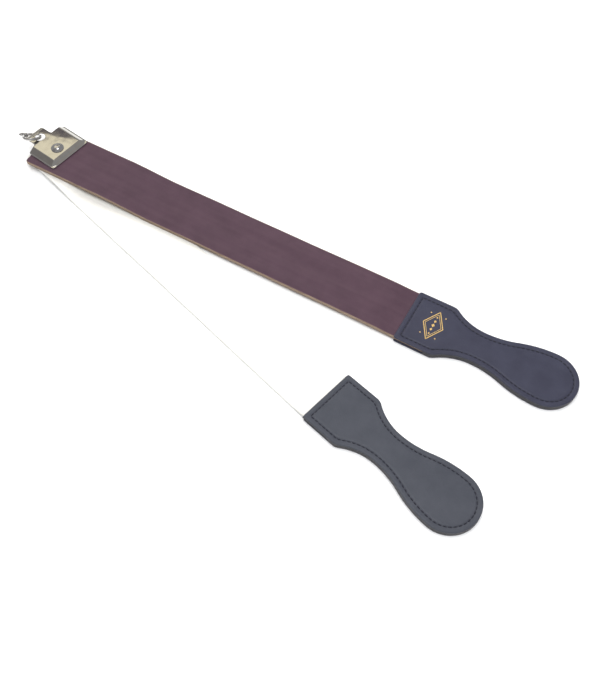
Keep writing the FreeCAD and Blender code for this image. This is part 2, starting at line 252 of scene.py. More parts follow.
def wire_loop(build: Build, place: Matrix, radius: float, wire: float, steps: int, sides: int) -> None:
    """Closed ring of round wire about the local Z axis; sizes in metres."""
    rings = []
    for i in range(steps):
        a = 2 * math.pi * i / steps
        spots = []
        for j in range(sides):
            b = 2 * math.pi * j / sides
            reach = radius + wire * math.cos(b)
            spots.append(Vector((reach * math.cos(a), reach * math.sin(a), wire * math.sin(b))))
        rings.append(build.ring([place @ p for p in spots]))
    for one, two in zip(rings, rings[1:] + rings[:1]):
        build.bridge(one, two)


@dataclass(frozen=True)
class Corner:
    """One corner of a flat outline, rounded; sizes in millimetres."""

    x: float
    y: float
    radius: float

    def spot(self) -> Vector:
        """The corner's place."""
        return Vector((self.x, self.y))


def rounded_outline(corners: Sequence[Corner], inset: float, arc: int, pitch: float) -> list[Point]:
    """Outline drawn inside a rounded polygon, always with the same number of points.

    Args:
        corners: Corners in anticlockwise order.
        inset: How far inside the outline is drawn.
        arc: Steps in each rounded corner.
        pitch: Largest distance between points on a straight side.

    Returns:
        The outline's points.
    """
    groups = []
    for i, here in enumerate(corners):
        before, after = corners[i - 1], corners[(i + 1) % len(corners)]
        spot = here.spot()
        back = (before.spot() - spot).normalized()
        ahead = (after.spot() - spot).normalized()
        half = ahead.angle(back) / 2
        outward = 1.0 if ahead.x * back.y - ahead.y * back.x > 0 else -1.0
        bisector = (back + ahead).normalized()
        centre = spot + bisector * (here.radius / math.sin(half))
        radius = here.radius - inset * outward
        start = centre - bisector * radius
        sweep = (math.pi - 2 * half) * outward
        points = []
        for k in range(arc + 1):
            turn = Matrix.Rotation(sweep * (k / arc - 0.5), 2)
            points.append(centre + turn @ (start - centre))
        groups.append(points)
    outline: list[Point] = []
    for i, points in enumerate(groups):
        outline += [(p.x, p.y) for p in points]
        after = (i + 1) % len(groups)
        following = groups[after][0]
        full = corners[i].spot() - corners[after].spot()
        steps = max(1, int(full.length / pitch))
        for k in range(1, steps):
            p = points[-1].lerp(following, k / steps)
            outline.append((p.x, p.y))
    return outline


# --- shader wiring


def plug(tree: NodeTree, socket: NodeSocket, value: object) -> None:
    """Link a socket to an input, or set the input's value."""
    if isinstance(value, NodeSocket):
        tree.links.new(value, socket)
    else:
        socket.default_value = value


class Wiring:
    """Short way to add and join nodes in one tree."""

    def __init__(self, tree: NodeTree) -> None:
        """Work on one node tree."""
        self.tree = tree

    def node(self, kind: str, inputs: dict | None = None, **props: object) -> Node:
        """Add a node; inputs are values or sockets, by name or number."""
        made = self.tree.nodes.new(kind)
        for key, value in props.items():
            setattr(made, key, value)
        for key, value in (inputs or {}).items():
            plug(self.tree, made.inputs[key], value)
        return made

    def sum(self, operation: str, one: object, two: object = 0.0, clamp: bool = False) -> NodeSocket:
        """Arithmetic on two numbers or sockets."""
        made = self.node("ShaderNodeMath", {0: one, 1: two}, operation=operation, use_clamp=clamp)
        return made.outputs[0]

    def times(self, one: object, two: object) -> NodeSocket:
        """Product of two numbers or sockets."""
        return self.sum("MULTIPLY", one, two)

    def plus(self, one: object, two: object) -> NodeSocket:
        """Total of two numbers or sockets."""
        return self.sum("ADD", one, two)

    def less(self, one: object, two: object) -> NodeSocket:
        """Difference of two numbers or sockets."""
        return self.sum("SUBTRACT", one, two)

    def blend(self, share: object, one: object, two: object) -> NodeSocket:
        """Mix of two colours."""
        inputs = {MIX_SHARE: share, MIX_ONE: one, MIX_TWO: two}
        return self.node("ShaderNodeMix", inputs, data_type="RGBA").outputs[MIX_RESULT]

    def span(self, value: object, low: float, high: float, start: float = 0.0,
             end: float = 1.0) -> object:
        """Map low..high onto start..end, clamped."""
        inputs = {"Value": value, "From Min": low, "From Max": high, "To Min": start, "To Max": end}
        return self.node("ShaderNodeMapRange", inputs).outputs[0]

    def noise(self, vector: object, scale: float, detail: float = 4.0, rough: float = 0.55) -> object:
        """Noise value at a place."""
        inputs = {"Vector": vector, "Scale": scale, "Detail": detail, "Roughness": rough}
        return self.node("ShaderNodeTexNoise", inputs).outputs[0]

    def stretch(self, vector: object, scale: Sequence[float]) -> object:
        """Vector scaled by axis."""
        made = self.node("ShaderNodeVectorMath", {0: vector, 1: tuple(scale)}, operation="MULTIPLY")
        return made.outputs[0]

    def lay(self) -> object:
        """Coordinates along the piece, in metres."""
        return self.node("ShaderNodeAttribute", attribute_name="lay").outputs["Vector"]

    def place(self) -> object:
        """Coordinates in the piece's own space."""
        return self.node("ShaderNodeTexCoord").outputs["Object"]


_GROUPS: dict[str, NodeTree] = {}


def group(name: str, inputs: dict[str, str], outputs: Sequence[str],
          fill: Callable[[Wiring, Node], dict]) -> NodeTree:
    """Shared node group, built the first time it is asked for.

    Args:
        name: Name of the group.
        inputs: Socket type of each input, by name.
        outputs: Names of the number outputs.
        fill: Makes the nodes and returns a socket for each output.

    Returns:
        The node group.
    """
    if name not in _GROUPS:
        tree = bpy.data.node_groups.new(name, "ShaderNodeTree")
        for key, kind in inputs.items():
            tree.interface.new_socket(name=key, in_out="INPUT", socket_type=kind)
        for key in outputs:
            tree.interface.new_socket(name=key, in_out="OUTPUT", socket_type="NodeSocketFloat")
        wiring = Wiring(tree)
        entry = wiring.node("NodeGroupInput")
        leave = wiring.node("NodeGroupOutput")
        for key, socket in fill(wiring, entry).items():
            tree.links.new(socket, leave.inputs[key])
        _GROUPS[name] = tree
    return _GROUPS[name]


def placed(wiring: Wiring, tree: NodeTree, inputs: dict) -> Node:
    """Group node in a material, with its own input values or sockets."""
    return wiring.node("ShaderNodeGroup", inputs, node_tree=tree)


VECTOR = "NodeSocketVector"
NUMBER = "NodeSocketFloat"


def grain_group() -> NodeTree:
    """Leather grain: pebbles, pores and slow tone changes."""

    def fill(wiring: Wiring, entry: Node) -> dict:
        """Nodes of the grain."""
        place = entry.outputs["Place"]
        inputs = {"Vector": place, "Scale": entry.outputs["Pebbles"], "Randomness": 1.0}
        cells = wiring.node("ShaderNodeTexVoronoi", inputs, feature="DISTANCE_TO_EDGE")
        pebble = wiring.span(cells.outputs["Distance"], 0.0, 0.22)
        fine = wiring.noise(place, 5200.0, 3.0)
        creases = wiring.noise(place, 420.0, 5.0, 0.6)
        height = wiring.plus(wiring.times(pebble, 0.6), wiring.times(fine, 0.25))
        height = wiring.plus(height, wiring.times(creases, 0.5))
        tone = wiring.noise(place, 55.0, 4.0, 0.6)
        return {"Height": height, "Tone": tone, "Pores": wiring.less(1.0, pebble)}

    inputs = {"Place": VECTOR, "Pebbles": NUMBER}
    return group("leather grain", inputs, ["Height", "Tone", "Pores"], fill)


def strokes_group() -> NodeTree:
    """Fine marks drawn out along a strap by years of strokes."""

    def fill(wiring: Wiring, entry: Node) -> dict:
        """Nodes of the marks."""
        lay = entry.outputs["Lay"]
        hair = wiring.noise(wiring.stretch(lay, (9.0, 1500.0, 1.0)), 1.0, 3.0, 0.7)
        broad = wiring.noise(wiring.stretch(lay, (5.0, 160.0, 1.0)), 1.0, 3.0, 0.5)
        lines = wiring.span(hair, 0.58, 0.72)
        return {"Lines": lines, "Bands": wiring.span(broad, 0.3, 0.7)}

    return group("stroke marks", {"Lay": VECTOR}, ["Lines", "Bands"], fill)


def weave_group() -> NodeTree:
    """Plain weave: threads over and under each other."""

    def fill(wiring: Wiring, entry: Node) -> dict:
        """Nodes of the weave."""
        parts = wiring.node("ShaderNodeSeparateXYZ", {0: entry.outputs["Lay"]})
        waver = wiring.span(wiring.noise(entry.outputs["Lay"], 260.0, 2.0), 0.0, 1.0, -0.25, 0.25)
        warp = wiring.times(wiring.sum("DIVIDE", parts.outputs[1], entry.outputs["Pitch"]), math.pi)
        weft = wiring.times(wiring.sum("DIVIDE", parts.outputs[0], entry.outputs["Pitch"]), math.pi)
        warp = wiring.plus(warp, waver)
        weft = wiring.plus(weft, waver)
        over = wiring.times(wiring.sum("SINE", warp), wiring.sum("SINE", weft))
        ribs = wiring.sum("ABSOLUTE", wiring.sum("SINE", warp))
        picks = wiring.sum("ABSOLUTE", wiring.sum("SINE", weft))
        across = wiring.span(over, -0.3, 0.3)
        height = wiring.plus(wiring.times(ribs, across),
                             wiring.times(picks, wiring.less(1.0, across)))
        slub = wiring.noise(wiring.stretch(entry.outputs["Lay"], (60.0, 900.0, 1.0)), 1.0, 3.0)
        return {"Height": height, "Slub": slub}

    return group("plain weave", {"Lay": VECTOR, "Pitch": NUMBER}, ["Height", "Slub"], fill)


def polish_group() -> NodeTree:
    """Handled plating: hairline scratches, smudges, and a gentle waviness."""

    def fill(wiring: Wiring, entry: Node) -> dict:
        """Nodes of the polish."""
        place = entry.outputs["Place"]
        one = wiring.noise(wiring.stretch(place, (900.0, 5200.0, 900.0)), 1.0, 2.0, 0.5)
        two = wiring.noise(wiring.stretch(place, (6100.0, 700.0, 900.0)), 1.0, 2.0, 0.5)
        lines = wiring.sum("MAXIMUM", wiring.span(one, 0.66, 0.78), wiring.span(two, 0.68, 0.8))
        smudge = wiring.span(wiring.noise(place, 130.0, 4.0, 0.6), 0.42, 0.7)
        wave = wiring.noise(place, 75.0, 1.0, 0.4)
        return {"Scratches": lines, "Smudges": smudge, "Waves": wave}

    return group("handled polish", {"Place": VECTOR}, ["Scratches", "Smudges", "Waves"], fill)


def fibre_group() -> NodeTree:
    """Cut leather edge: fibres and slicing marks lying along the edge."""

    def fill(wiring: Wiring, entry: Node) -> dict:
        """Nodes of the fibres."""
        lay = entry.outputs["Lay"]
        layers = wiring.noise(wiring.stretch(lay, (90.0, 90.0, 4200.0)), 1.0, 4.0, 0.6)
        flecks = wiring.noise(lay, 2600.0, 3.0)
        dark = wiring.span(wiring.noise(lay, 70.0, 3.0), 0.35, 0.75)
        return {"Height": wiring.plus(layers, wiring.times(flecks, 0.5)), "Layers": layers,
                "Stain": dark}

    return group("cut fibres", {"Lay": VECTOR}, ["Height", "Layers", "Stain"], fill)


# --- finishes


def start_material(name: str) -> tuple[Material, Wiring, Node]:
    """New material with its wiring and its Principled shader."""
    made = bpy.data.materials.new(name)
    made.use_nodes = True
    shader = next(n for n in made.node_tree.nodes if n.type == "BSDF_PRINCIPLED")
    return made, Wiring(made.node_tree), shader


def feed(wiring: Wiring, shader: Node, **inputs: object) -> None:
    """Give the shader sockets or values by input name, with words joined by underscores."""
    for key, value in inputs.items():
        plug(wiring.tree, shader.inputs[key.replace("_", " ")], value)


def bump(wiring: Wiring, shader: Node, height: object, depth: float, strength: float) -> None:
    """Feed a height to the shader's normal; a height of 1 is as deep as depth, in metres."""
    made = wiring.node("ShaderNodeBump", {"Strength": strength, "Distance": depth, "Height": height})
    wiring.tree.links.new(made.outputs[0], shader.inputs["Normal"])


@dataclass(frozen=True)
class Nickel:
    """Nickel plating, polished and then handled."""

    name: str
    colour: Colour
    dull: Colour
    low_rough: float
    high_rough: float
    wave_depth: float

    def material(self) -> Material:
        """Build the plated material."""
        made, wiring, shader = start_material(self.name)
        marks = placed(wiring, polish_group(), {"Place": wiring.place()})
        worn = wiring.times(marks.outputs["Smudges"], 0.6)
        worn = wiring.sum("ADD", worn, wiring.times(marks.outputs["Scratches"], 0.5), clamp=True)
        feed(wiring, shader, Base_Color=wiring.blend(worn, self.colour, self.dull))
        feed(wiring, shader, Roughness=wiring.span(worn, 0.0, 1.0, self.low_rough, self.high_rough))
        feed(wiring, shader, Metallic=1.0)
        cuts = wiring.times(marks.outputs["Scratches"], 0.01)
        height = wiring.less(marks.outputs["Waves"], cuts)
        bump(wiring, shader, height, self.wave_depth, 0.5)
        return made


@dataclass(frozen=True)
class StropSkin:
    """Smooth stropping leather, darker in its pores and drawn along by strokes."""

    colour: Colour = (0.076, 0.043, 0.060, 1.0)
    deep: Colour = (0.058, 0.032, 0.046, 1.0)
    rubbed: Colour = (0.102, 0.064, 0.080, 1.0)
    pebbles: float = 1500.0
    half_width: float = 25.0 * MM
    edge_start: float = 0.93
    edge_end: float = 0.995

    def material(self) -> Material:
        """Build the strap's top leather."""
        made, wiring, shader = start_material("strop leather skin")
        lay = wiring.lay()
        grain = placed(wiring, grain_group(), {"Place": lay, "Pebbles": self.pebbles})
        marks = placed(wiring, strokes_group(), {"Lay": lay})
        tone = wiring.span(grain.outputs["Tone"], 0.32, 0.68)
        base = wiring.blend(tone, self.deep, self.colour)
        base = wiring.blend(wiring.times(marks.outputs["Bands"], 0.28), base, self.rubbed)
        base = wiring.blend(wiring.times(marks.outputs["Lines"], 0.22), base, self.rubbed)
        base = wiring.blend(wiring.times(grain.outputs["Pores"], 0.3), base, self.deep)
        across = wiring.sum("ABSOLUTE", wiring.node("ShaderNodeSeparateXYZ", {0: lay}).outputs[1])
        edge = wiring.span(across, self.half_width * self.edge_start,
                           self.half_width * self.edge_end)
        feed(wiring, shader, Base_Color=wiring.blend(wiring.times(edge, 0.55), base, self.rubbed))
        gloss = wiring.less(wiring.span(grain.outputs["Tone"], 0.3, 0.7, 0.38, 0.52),
                            wiring.times(marks.outputs["Bands"], 0.08))
        feed(wiring, shader, Roughness=gloss)
        feed(wiring, shader, Specular_IOR_Level=0.2)
        height = wiring.less(wiring.times(grain.outputs["Height"], 0.7),
                             wiring.times(marks.outputs["Lines"], 0.35))
        bump(wiring, shader, height, 0.00012, 0.55)
        return made


@dataclass(frozen=True)
class CutEdge:
    """Leather edge with its fibres showing."""

    name: str
    colour: Colour
    dark: Colour
    roughness: float

    def material(self) -> Material:
        """Build the cut edge."""
        made, wiring, shader = start_material(self.name)
        fibres = placed(wiring, fibre_group(), {"Lay": wiring.lay()})
        layers = wiring.span(fibres.outputs["Layers"], 0.35, 0.65)
        base = wiring.blend(layers, self.dark, self.colour)
        stain = wiring.times(fibres.outputs["Stain"], 0.35)
        feed(wiring, shader, Base_Color=wiring.blend(stain, base, self.dark))
        rough = wiring.span(layers, 0.0, 1.0, self.roughness - 0.08, self.roughness + 0.1)
        feed(wiring, shader, Roughness=rough)
        bump(wiring, shader, fibres.outputs["Height"], 0.00018, 0.8)
        return made


@dataclass(frozen=True)
class Canvas:
    """White woven linen, its weave's low places painted darker as shade."""

    colour: Colour = (0.88, 0.87, 0.84, 1.0)
    # Painted shade for the weave's low places; also the darker tone of slubs.
    shade: Colour = (0.68, 0.65, 0.58, 1.0)
    pitch: float = 0.85 * MM

    def material(self) -> Material:
        """Build the linen."""
        made, wiring, shader = start_material("white linen")
        weave = placed(wiring, weave_group(), {"Lay": wiring.lay(), "Pitch": self.pitch})
        # Painted shade: where the weave lies low, the linen takes the shade colour.
        weave_shade_mask = wiring.span(weave.outputs["Height"], 0.15, 0.75)
        base = wiring.blend(weave_shade_mask, self.shade, self.colour)
        base = wiring.blend(wiring.span(weave.outputs["Slub"], 0.62, 0.8, 0.0, 0.4), base, self.shade)
        feed(wiring, shader, Base_Color=base)
        feed(wiring, shader, Roughness=wiring.span(weave.outputs["Slub"], 0.3, 0.7, 0.82, 0.95))
        feed(wiring, shader, Sheen_Weight=0.25)
        feed(wiring, shader, Sheen_Roughness=0.5)
        feed(wiring, shader, Specular_IOR_Level=0.25)
        height = wiring.plus(weave.outputs["Height"], wiring.times(weave.outputs["Slub"], 0.4))
        bump(wiring, shader, height, 0.00025, 0.8)
        return made


@dataclass(frozen=True)
class Glazed:
    """Black glazed leather of the handles."""

    name: str
    colour: Colour
    worn: Colour
    pebbles: float
    low_rough: float
    high_rough: float

    def material(self) -> Material:
        """Build the glazed leather."""
        made, wiring, shader = start_material(self.name)
        place = wiring.place()
        grain = placed(wiring, grain_group(), {"Place": place, "Pebbles": self.pebbles})
        tone = wiring.span(grain.outputs["Tone"], 0.35, 0.7)
        sharp = wiring.node("ShaderNodeNewGeometry").outputs["Pointiness"]
        rubbed = wiring.span(sharp, 0.52, 0.6, 0.0, 0.6)
        base = wiring.blend(wiring.times(tone, 0.5), self.colour, self.worn)
        feed(wiring, shader, Base_Color=wiring.blend(rubbed, base, self.worn))
        rough = wiring.span(tone, 0.0, 1.0, self.low_rough, self.high_rough)
        feed(wiring, shader, Roughness=wiring.plus(rough, wiring.times(grain.outputs["Pores"], 0.1)))
        feed(wiring, shader, Coat_Roughness=0.22)
        feed(wiring, shader, Specular_IOR_Level=0.35)
        feed(wiring, shader, Coat_Weight=wiring.span(tone, 0.0, 1.0, 0.22, 0.10))
        bump(wiring, shader, grain.outputs["Height"], 0.00016, 0.6)
        return made


@dataclass(frozen=True)
class Thread:
    """Waxed sewing thread with its twist; the twist's grooves are painted darker as shade."""

    name: str
    colour: Colour
    dark: Colour

    def material(self) -> Material:
        """Build the thread."""
        made, wiring, shader = start_material(self.name)
        parts = wiring.node("ShaderNodeSeparateXYZ", {0: wiring.lay()})
        turns = wiring.plus(wiring.times(parts.outputs[0], 5200.0), parts.outputs[1])
        twist = wiring.span(wiring.sum("SINE", turns), -1.0, 1.0)
        # Painted shade: the low side of each twist takes the dark colour.
        feed(wiring, shader, Base_Color=wiring.blend(twist, self.dark, self.colour))
        feed(wiring, shader, Roughness=wiring.span(twist, 0.0, 1.0, 0.6, 0.42))
        bump(wiring, shader, twist, 0.00012, 0.8)
        return made


@dataclass(frozen=True)
class Gilt:
    """Gold foil pressed into leather, rubbed thin in places."""

    colour: Colour = (0.82, 0.56, 0.20, 1.0)
    thin: Colour = (0.42, 0.27, 0.09, 1.0)

    def material(self) -> Material:
        """Build the foil."""
        made, wiring, shader = start_material("gilt foil")
        place = wiring.place()
        rub = wiring.span(wiring.noise(place, 900.0, 4.0, 0.65), 0.5, 0.72)
        grain = placed(wiring, grain_group(), {"Place": place, "Pebbles": 900.0})
        feed(wiring, shader, Base_Color=wiring.blend(rub, self.colour, self.thin))
        feed(wiring, shader, Roughness=wiring.span(rub, 0.0, 1.0, 0.3, 0.55))
        feed(wiring, shader, Metallic=wiring.span(rub, 0.0, 1.0, 0.45, 0.25))
        bump(wiring, shader, grain.outputs["Height"], 0.0001, 0.5)
        return made


class Wardrobe:
    """Every finish of the strop."""

    def __init__(self) -> None:
        """Build each finish once."""
        self.plate = Nickel("polished nickel", (0.50, 0.485, 0.455, 1.0),
                            (0.43, 0.415, 0.385, 1.0), 0.03, 0.075, 0.00006).material()
        self.rivet = Nickel("rivet nickel", (0.52, 0.51, 0.50, 1.0), (0.38, 0.375, 0.365, 1.0),
                            0.05, 0.14, 0.0001).material()
        self.ring = Nickel("worn ring nickel", (0.60, 0.59, 0.58, 1.0), (0.36, 0.35, 0.34, 1.0),
                           0.10, 0.30, 0.0001).material()
        self.steel = Nickel("turned steel", (0.52, 0.52, 0.53, 1.0), (0.36, 0.35, 0.34, 1.0), 0.30,
                            0.50, 0.0001).material()
        self.skin = StropSkin().material()
        self.tan_edge = CutEdge("tan cut edge", (0.34, 0.25, 0.175, 1.0), (0.17, 0.115, 0.08, 1.0),
                                0.66).material()
        self.flesh = CutEdge("strap flesh side", (0.38, 0.25, 0.15, 1.0), (0.20, 0.12, 0.07, 1.0),
                             0.80).material()
        self.canvas = Canvas().material()
        self.glazed = Glazed("glazed black leather", (0.030, 0.031, 0.052, 1.0),
                             (0.050, 0.052, 0.080, 1.0), 1050.0, 0.34, 0.46).material()
        self.faded = Glazed("glazed leather rubbed paler", (0.046, 0.050, 0.064, 1.0),
                            (0.072, 0.076, 0.092, 1.0), 1050.0, 0.38, 0.50).material()
        self.core = CutEdge("inked filler edge", (0.030, 0.028, 0.034, 1.0),
                            (0.012, 0.011, 0.014, 1.0), 0.55).material()
        self.thread = Thread("waxed thread", (0.030, 0.031, 0.048, 1.0),
                             (0.008, 0.008, 0.012, 1.0)).material()
        self.gilt = Gilt().material()


def dress(item: Object, body: Body, slot: Slot, materials: Sequence[Material],
          nodes: Sequence[str] = ()) -> Object:
    """Give a piece its materials and its body, and hide the CAD nodes it stands for."""
    for material in materials:
        item.data.materials.append(material)
    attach(item, body.value)
    if nodes:
        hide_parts(*nodes)
    LOG.info("%s rides on %s with %d faces", item.name, body.value, len(item.data.polygons))
    return item


def paint_node(node: str, material: Material) -> None:
    """Give a CAD node that stays a better material."""
    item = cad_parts[node]
    for spot in item.material_slots:
        spot.material = material
    LOG.info("%s keeps its CAD shape", node)


# --- straps


@dataclass
class Strap:
    """One strap: a flat band with a side profile, ending inside its handle; millimetres."""

    name: str
    node: str
    body: Body
    slot: Slot
    seat: Seat
    thick: float
    tail: float
    reach: float
    flat_end: float
    down_end: float
    clamped: float
    laid: float
    sewn: float
    edge_round: float
    width: float = 50.0
    tongue: float = 26.0
    entry: float = 25.0
    entry_slack: float = 1.0
    corner: float = 2.5
    step: float = 1.5
    arc: int = 5
    lanes: int = 20
    sway: float = 0.12
    slow_sway: float = 0.031
    quick_sway: float = 0.087
    tail_rows: tuple[float, ...] = (0.05, 0.2, 0.5, 0.9, 1.4, 2.0)

    def underside(self, x: float) -> float:
        """Level of the underside at a distance from the rivet."""
        entry_end = self.reach - self.entry_slack
        fall = ease((x - self.flat_end) / (self.down_end - self.flat_end))
        rise = ease((x - entry_end + self.entry) / self.entry)
        return self.clamped + (self.laid - self.clamped) * fall + (self.sewn - self.laid) * rise

    def half_width(self, x: float) -> float:
        """Half the width, rounded off at the tail's corners."""
        from_tail = x + self.tail
        half = self.width / 2
        if from_tail >= self.corner:
            return half
        return half - self.corner + math.sqrt(self.corner**2 - (self.corner - from_tail) ** 2)

    def section(self, x: float) -> tuple[list[Vector], list[Triple], list[int]]:
        """Cross-section at x: places, material coordinates, and which face each point starts."""
        half = self.half_width(x)
        low = self.underside(x)
        r = self.edge_round
        slow = math.sin(x * self.slow_sway + self.thick)
        wander = self.sway * (slow + 0.5 * math.sin(x * self.quick_sway))
        spots: list[Point] = []
        kinds: list[int] = []
        for side, middle in ((1, -90), (1, 0), (-1, 90), (-1, 180)):
            centre_y = side * (half - r)
            centre_z = r if middle in (-90, 180) else self.thick - r
            for k in range(self.arc + 1):
                angle = math.radians(middle + 90 * k / self.arc)
                spots.append((centre_y + r * math.cos(angle), centre_z + r * math.sin(angle)))
                kinds.append(EDGE)
            if middle in (0, 180):
                kinds[-1] = UPPER if middle == 0 else UNDER
                for k in range(1, self.lanes):
                    y = side * (half - r) * (1 - 2 * k / self.lanes)
                    spots.append((y, self.thick if middle == 0 else 0.0))
                    kinds.append(kinds[-1])
        places = [self.seat.at(x, y + wander, low + z) for y, z in spots]
        lay = [(x * MM, y * MM, z * MM) for y, z in spots]
        return places, lay, kinds

    def build(self, materials: Sequence[Material]) -> Object:
        """Make and dress the strap."""
        build = Build()
        end = self.reach + self.tongue
        tail_steps = [-self.tail + d for d in self.tail_rows]
        count = int((end + self.tail - self.corner) / self.step)
        start = self.corner - self.tail
        rows = tail_steps + [start + (end - start) * i / count for i in range(count + 1)]
        rings = []
        for x in rows:
            places, lay, kinds = self.section(x)
            rings.append(build.ring(places, lay))
        for one, two in zip(rings, rings[1:]):
            for i in range(len(one)):
                j = (i + 1) % len(one)
                build.face((one[i], one[j], two[j], two[i]), kinds[i])
        build.face(list(reversed(rings[0])), EDGE)
        build.face(rings[-1], EDGE)
        item = build.piece(self.name)
        crease(item, 50)
        return dress(item, self.body, self.slot, materials, [self.node])


# --- handles


@dataclass
class PaddleShape:
    """Outline of a paddle handle, from the strap's edge at x = 0; millimetres."""

    length: float = 150.0
    head_width: float = 52.6
    corner: float = 2.0
    shoulder: float = 10.0
    neck_place: float = 65.3
    neck_width: float = 30.6
    neck_radius: float = 48.2
    flank: float = 97.0
    bulb: float = 25.5
    pitch: float = 1.1

    def arcs(self) -> list[tuple[Point, float, Point, Point, int]]:
        """Centre, radius, start, end and bulge (1 out, -1 in) of each arc of the +Y side."""
        half_head, half_neck = self.head_width / 2, self.neck_width / 2
        bulb_x = self.length - self.bulb
        neck_c = (self.neck_place, half_neck + self.neck_radius)
        shoulder_y = half_head - self.shoulder
        reach = (self.neck_radius + self.shoulder) ** 2 - (neck_c[1] - shoulder_y) ** 2
        shoulder_c = (self.neck_place - math.sqrt(reach), shoulder_y)
        flank_c = (bulb_x, self.bulb - self.flank)
        drop = half_neck - flank_c[1]
        waist = ((bulb_x - self.neck_place) ** 2 + drop**2 - self.flank**2) / (2 * (self.flank - drop))
        waist_c = (self.neck_place, half_neck + waist)
        share = self.shoulder / (self.neck_radius + self.shoulder)
        meet = between(shoulder_c, neck_c, share)
        share = waist / (waist + self.flank)
        turn = between(waist_c, flank_c, share)
        low = (self.neck_place, half_neck)
        corner_c = (self.corner, half_head - self.corner)
        return [
            (corner_c, self.corner, (0.0, half_head - self.corner), (self.corner, half_head), 1),
            (shoulder_c, self.shoulder, (shoulder_c[0], half_head), meet, 1),
            (neck_c, self.neck_radius, meet, low, -1),
            (waist_c, waist, low, turn, -1),
            (flank_c, self.flank, turn, (bulb_x, self.bulb), 1),
            ((bulb_x, 0.0), self.bulb, (bulb_x, self.bulb), (self.length, 0.0), 1),
        ]

    def half(self, inset: float) -> list[Point]:
        """Points of the +Y side, from the middle of the strap's edge to the tip."""
        half_head = self.head_width / 2
        edge_steps = int(half_head / self.pitch)
        top = max(self.corner, inset)
        points = [(inset, (half_head - top) * i / edge_steps) for i in range(edge_steps)]
        for number, (centre, radius, start, end, bulge) in enumerate(self.arcs()):
            begin = math.atan2(start[1] - centre[1], start[0] - centre[0])
            finish = math.atan2(end[1] - centre[1], end[0] - centre[0])
            sweep = (finish - begin + math.pi) % (2 * math.pi) - math.pi
            steps = max(4, int(abs(sweep) * radius / self.pitch))
            if number == 1:
                points += self.head_line(inset, centre[0])
            if number == 0 and inset >= self.corner:
                points += [(inset, half_head - inset)] * (steps + 1)
                continue
            reach = radius - bulge * inset
            for k in range(steps + (1 if number in (0, 5) else 0)):
                angle = begin + sweep * k / steps
                spot = (centre[0] + reach * math.cos(angle), centre[1] + reach * math.sin(angle))
                points.append(spot)
        return points

    def head_line(self, inset: float, shoulder_x: float) -> list[Point]:
        """Straight side of the head, between its corner and its shoulder."""
        start = max(self.corner, inset)
        steps = int(shoulder_x / self.pitch)
        y = self.head_width / 2 - inset
        return [(start + (shoulder_x - start) * k / steps, y) for k in range(1, steps)]

    def outline(self, inset: float) -> list[Point]:
        """Whole outline, always with the same number of points."""
        side = self.half(inset)
        return side + [(x, -y) for x, y in reversed(side[1:-1])]


@dataclass
class Stitching:
    """A row of stitches in a groove; millimetres."""

    inset: float = 4.6
    pitch: float = 3.9
    gap: float = 0.75
    radius: float = 0.47
    flat: float = 0.72
    sides: int = 8
    bends: int = 8
    jitter: float = 0.12
    least_tall: float = 0.92
    most_tall: float = 1.08
    end_share: float = 0.08
    fullness: float = 0.45

    def spots(self, path: Sequence[Point]) -> list[tuple[Point, Point]]:
        """Ends of each stitch along a path, evenly spaced."""
        lengths = [0.0]
        for a, b in zip(path, path[1:]):
            lengths.append(lengths[-1] + math.dist(a, b))
        count = round(lengths[-1] / self.pitch)
        marks = []
        place = 0
        for k in range(count + 1):
            goal = lengths[-1] * k / count
            while place < len(lengths) - 2 and lengths[place + 1] < goal:
                place += 1
            span = lengths[place + 1] - lengths[place]
            share = (goal - lengths[place]) / span if span else 0.0
            marks.append(between(path[place], path[place + 1], share))
        return list(zip(marks, marks[1:]))

    def swell(self, share: float) -> float:
        """How full a stitch is at a share of its length, from 0 to 1."""
        along = self.end_share + (1 - 2 * self.end_share) * share
        return math.sin(math.pi * min(1.0, max(0.0, along))) ** self.fullness

    def sew(self, build: Build, seat: Seat, path: Sequence[Point], floor: float, facing: Facing,
            chance: random.Random) -> None:
        """Lay the stitches of one path into a build.

        Args:
            build: Where the stitches go.
            seat: The handle's local frame.
            path: The stitch line.
            floor: Level of the groove's floor.
            facing: Which side of the handle is sewn.
            chance: Seeded source of small differences.
        """
        for a, b in self.spots(path):
            length = math.dist(a, b)
            along = ((b[0] - a[0]) / length, (b[1] - a[1]) / length)
            lean = chance.uniform(-self.jitter, self.jitter)
            side = (-along[1] - lean * along[0], along[0] - lean * along[1])
            start, end = self.gap / 2, length - self.gap / 2
            tall = self.radius * self.flat * chance.uniform(self.least_tall, self.most_tall)
            rings = []
            for k in range(self.bends + 1):
                share = k / self.bends
                reach = start + (end - start) * share
                swell = self.swell(share)
                lift = facing.value * (tall * (2.0 * swell - 1.0))
                drift = lean * (share - 0.5) * length * 0.5
                points, lay = [], []
                for j in range(self.sides):
                    angle = 2 * math.pi * j / self.sides
                    out = self.radius * swell * math.cos(angle) + drift
                    high = floor + lift + tall * swell * math.sin(angle)
                    x = a[0] + along[0] * reach + side[0] * out
                    y = a[1] + along[1] * reach + side[1] * out
                    points.append(seat.at(x, y, high))
                    lay.append((reach * MM, angle, 0.0))
                rings.append(build.ring(points, lay))
            for one, two in zip(rings, rings[1:]):
                build.bridge(one, two)
            build.face(list(reversed(rings[0])))
            build.face(rings[-1])


# Level of a cover's face above its seam, at distances inside the outline; millimetres.
COVER_SECTION: tuple[Point, ...] = (
    (0.22, 0.0), (0.03, 0.22), (0.0, 0.55), (0.08, 0.88), (0.32, 1.16), (0.75, 1.33), (1.4, 1.40),
    (2.3, 1.40), (3.0, 1.37), (3.5, 1.28), (3.85, 1.12), (4.2, 0.98), (4.6, 0.93), (5.0, 0.98),
    (5.35, 1.10), (5.7, 1.22), (6.3, 1.30), (7.2, 1.34), (8.2, 1.36),
)


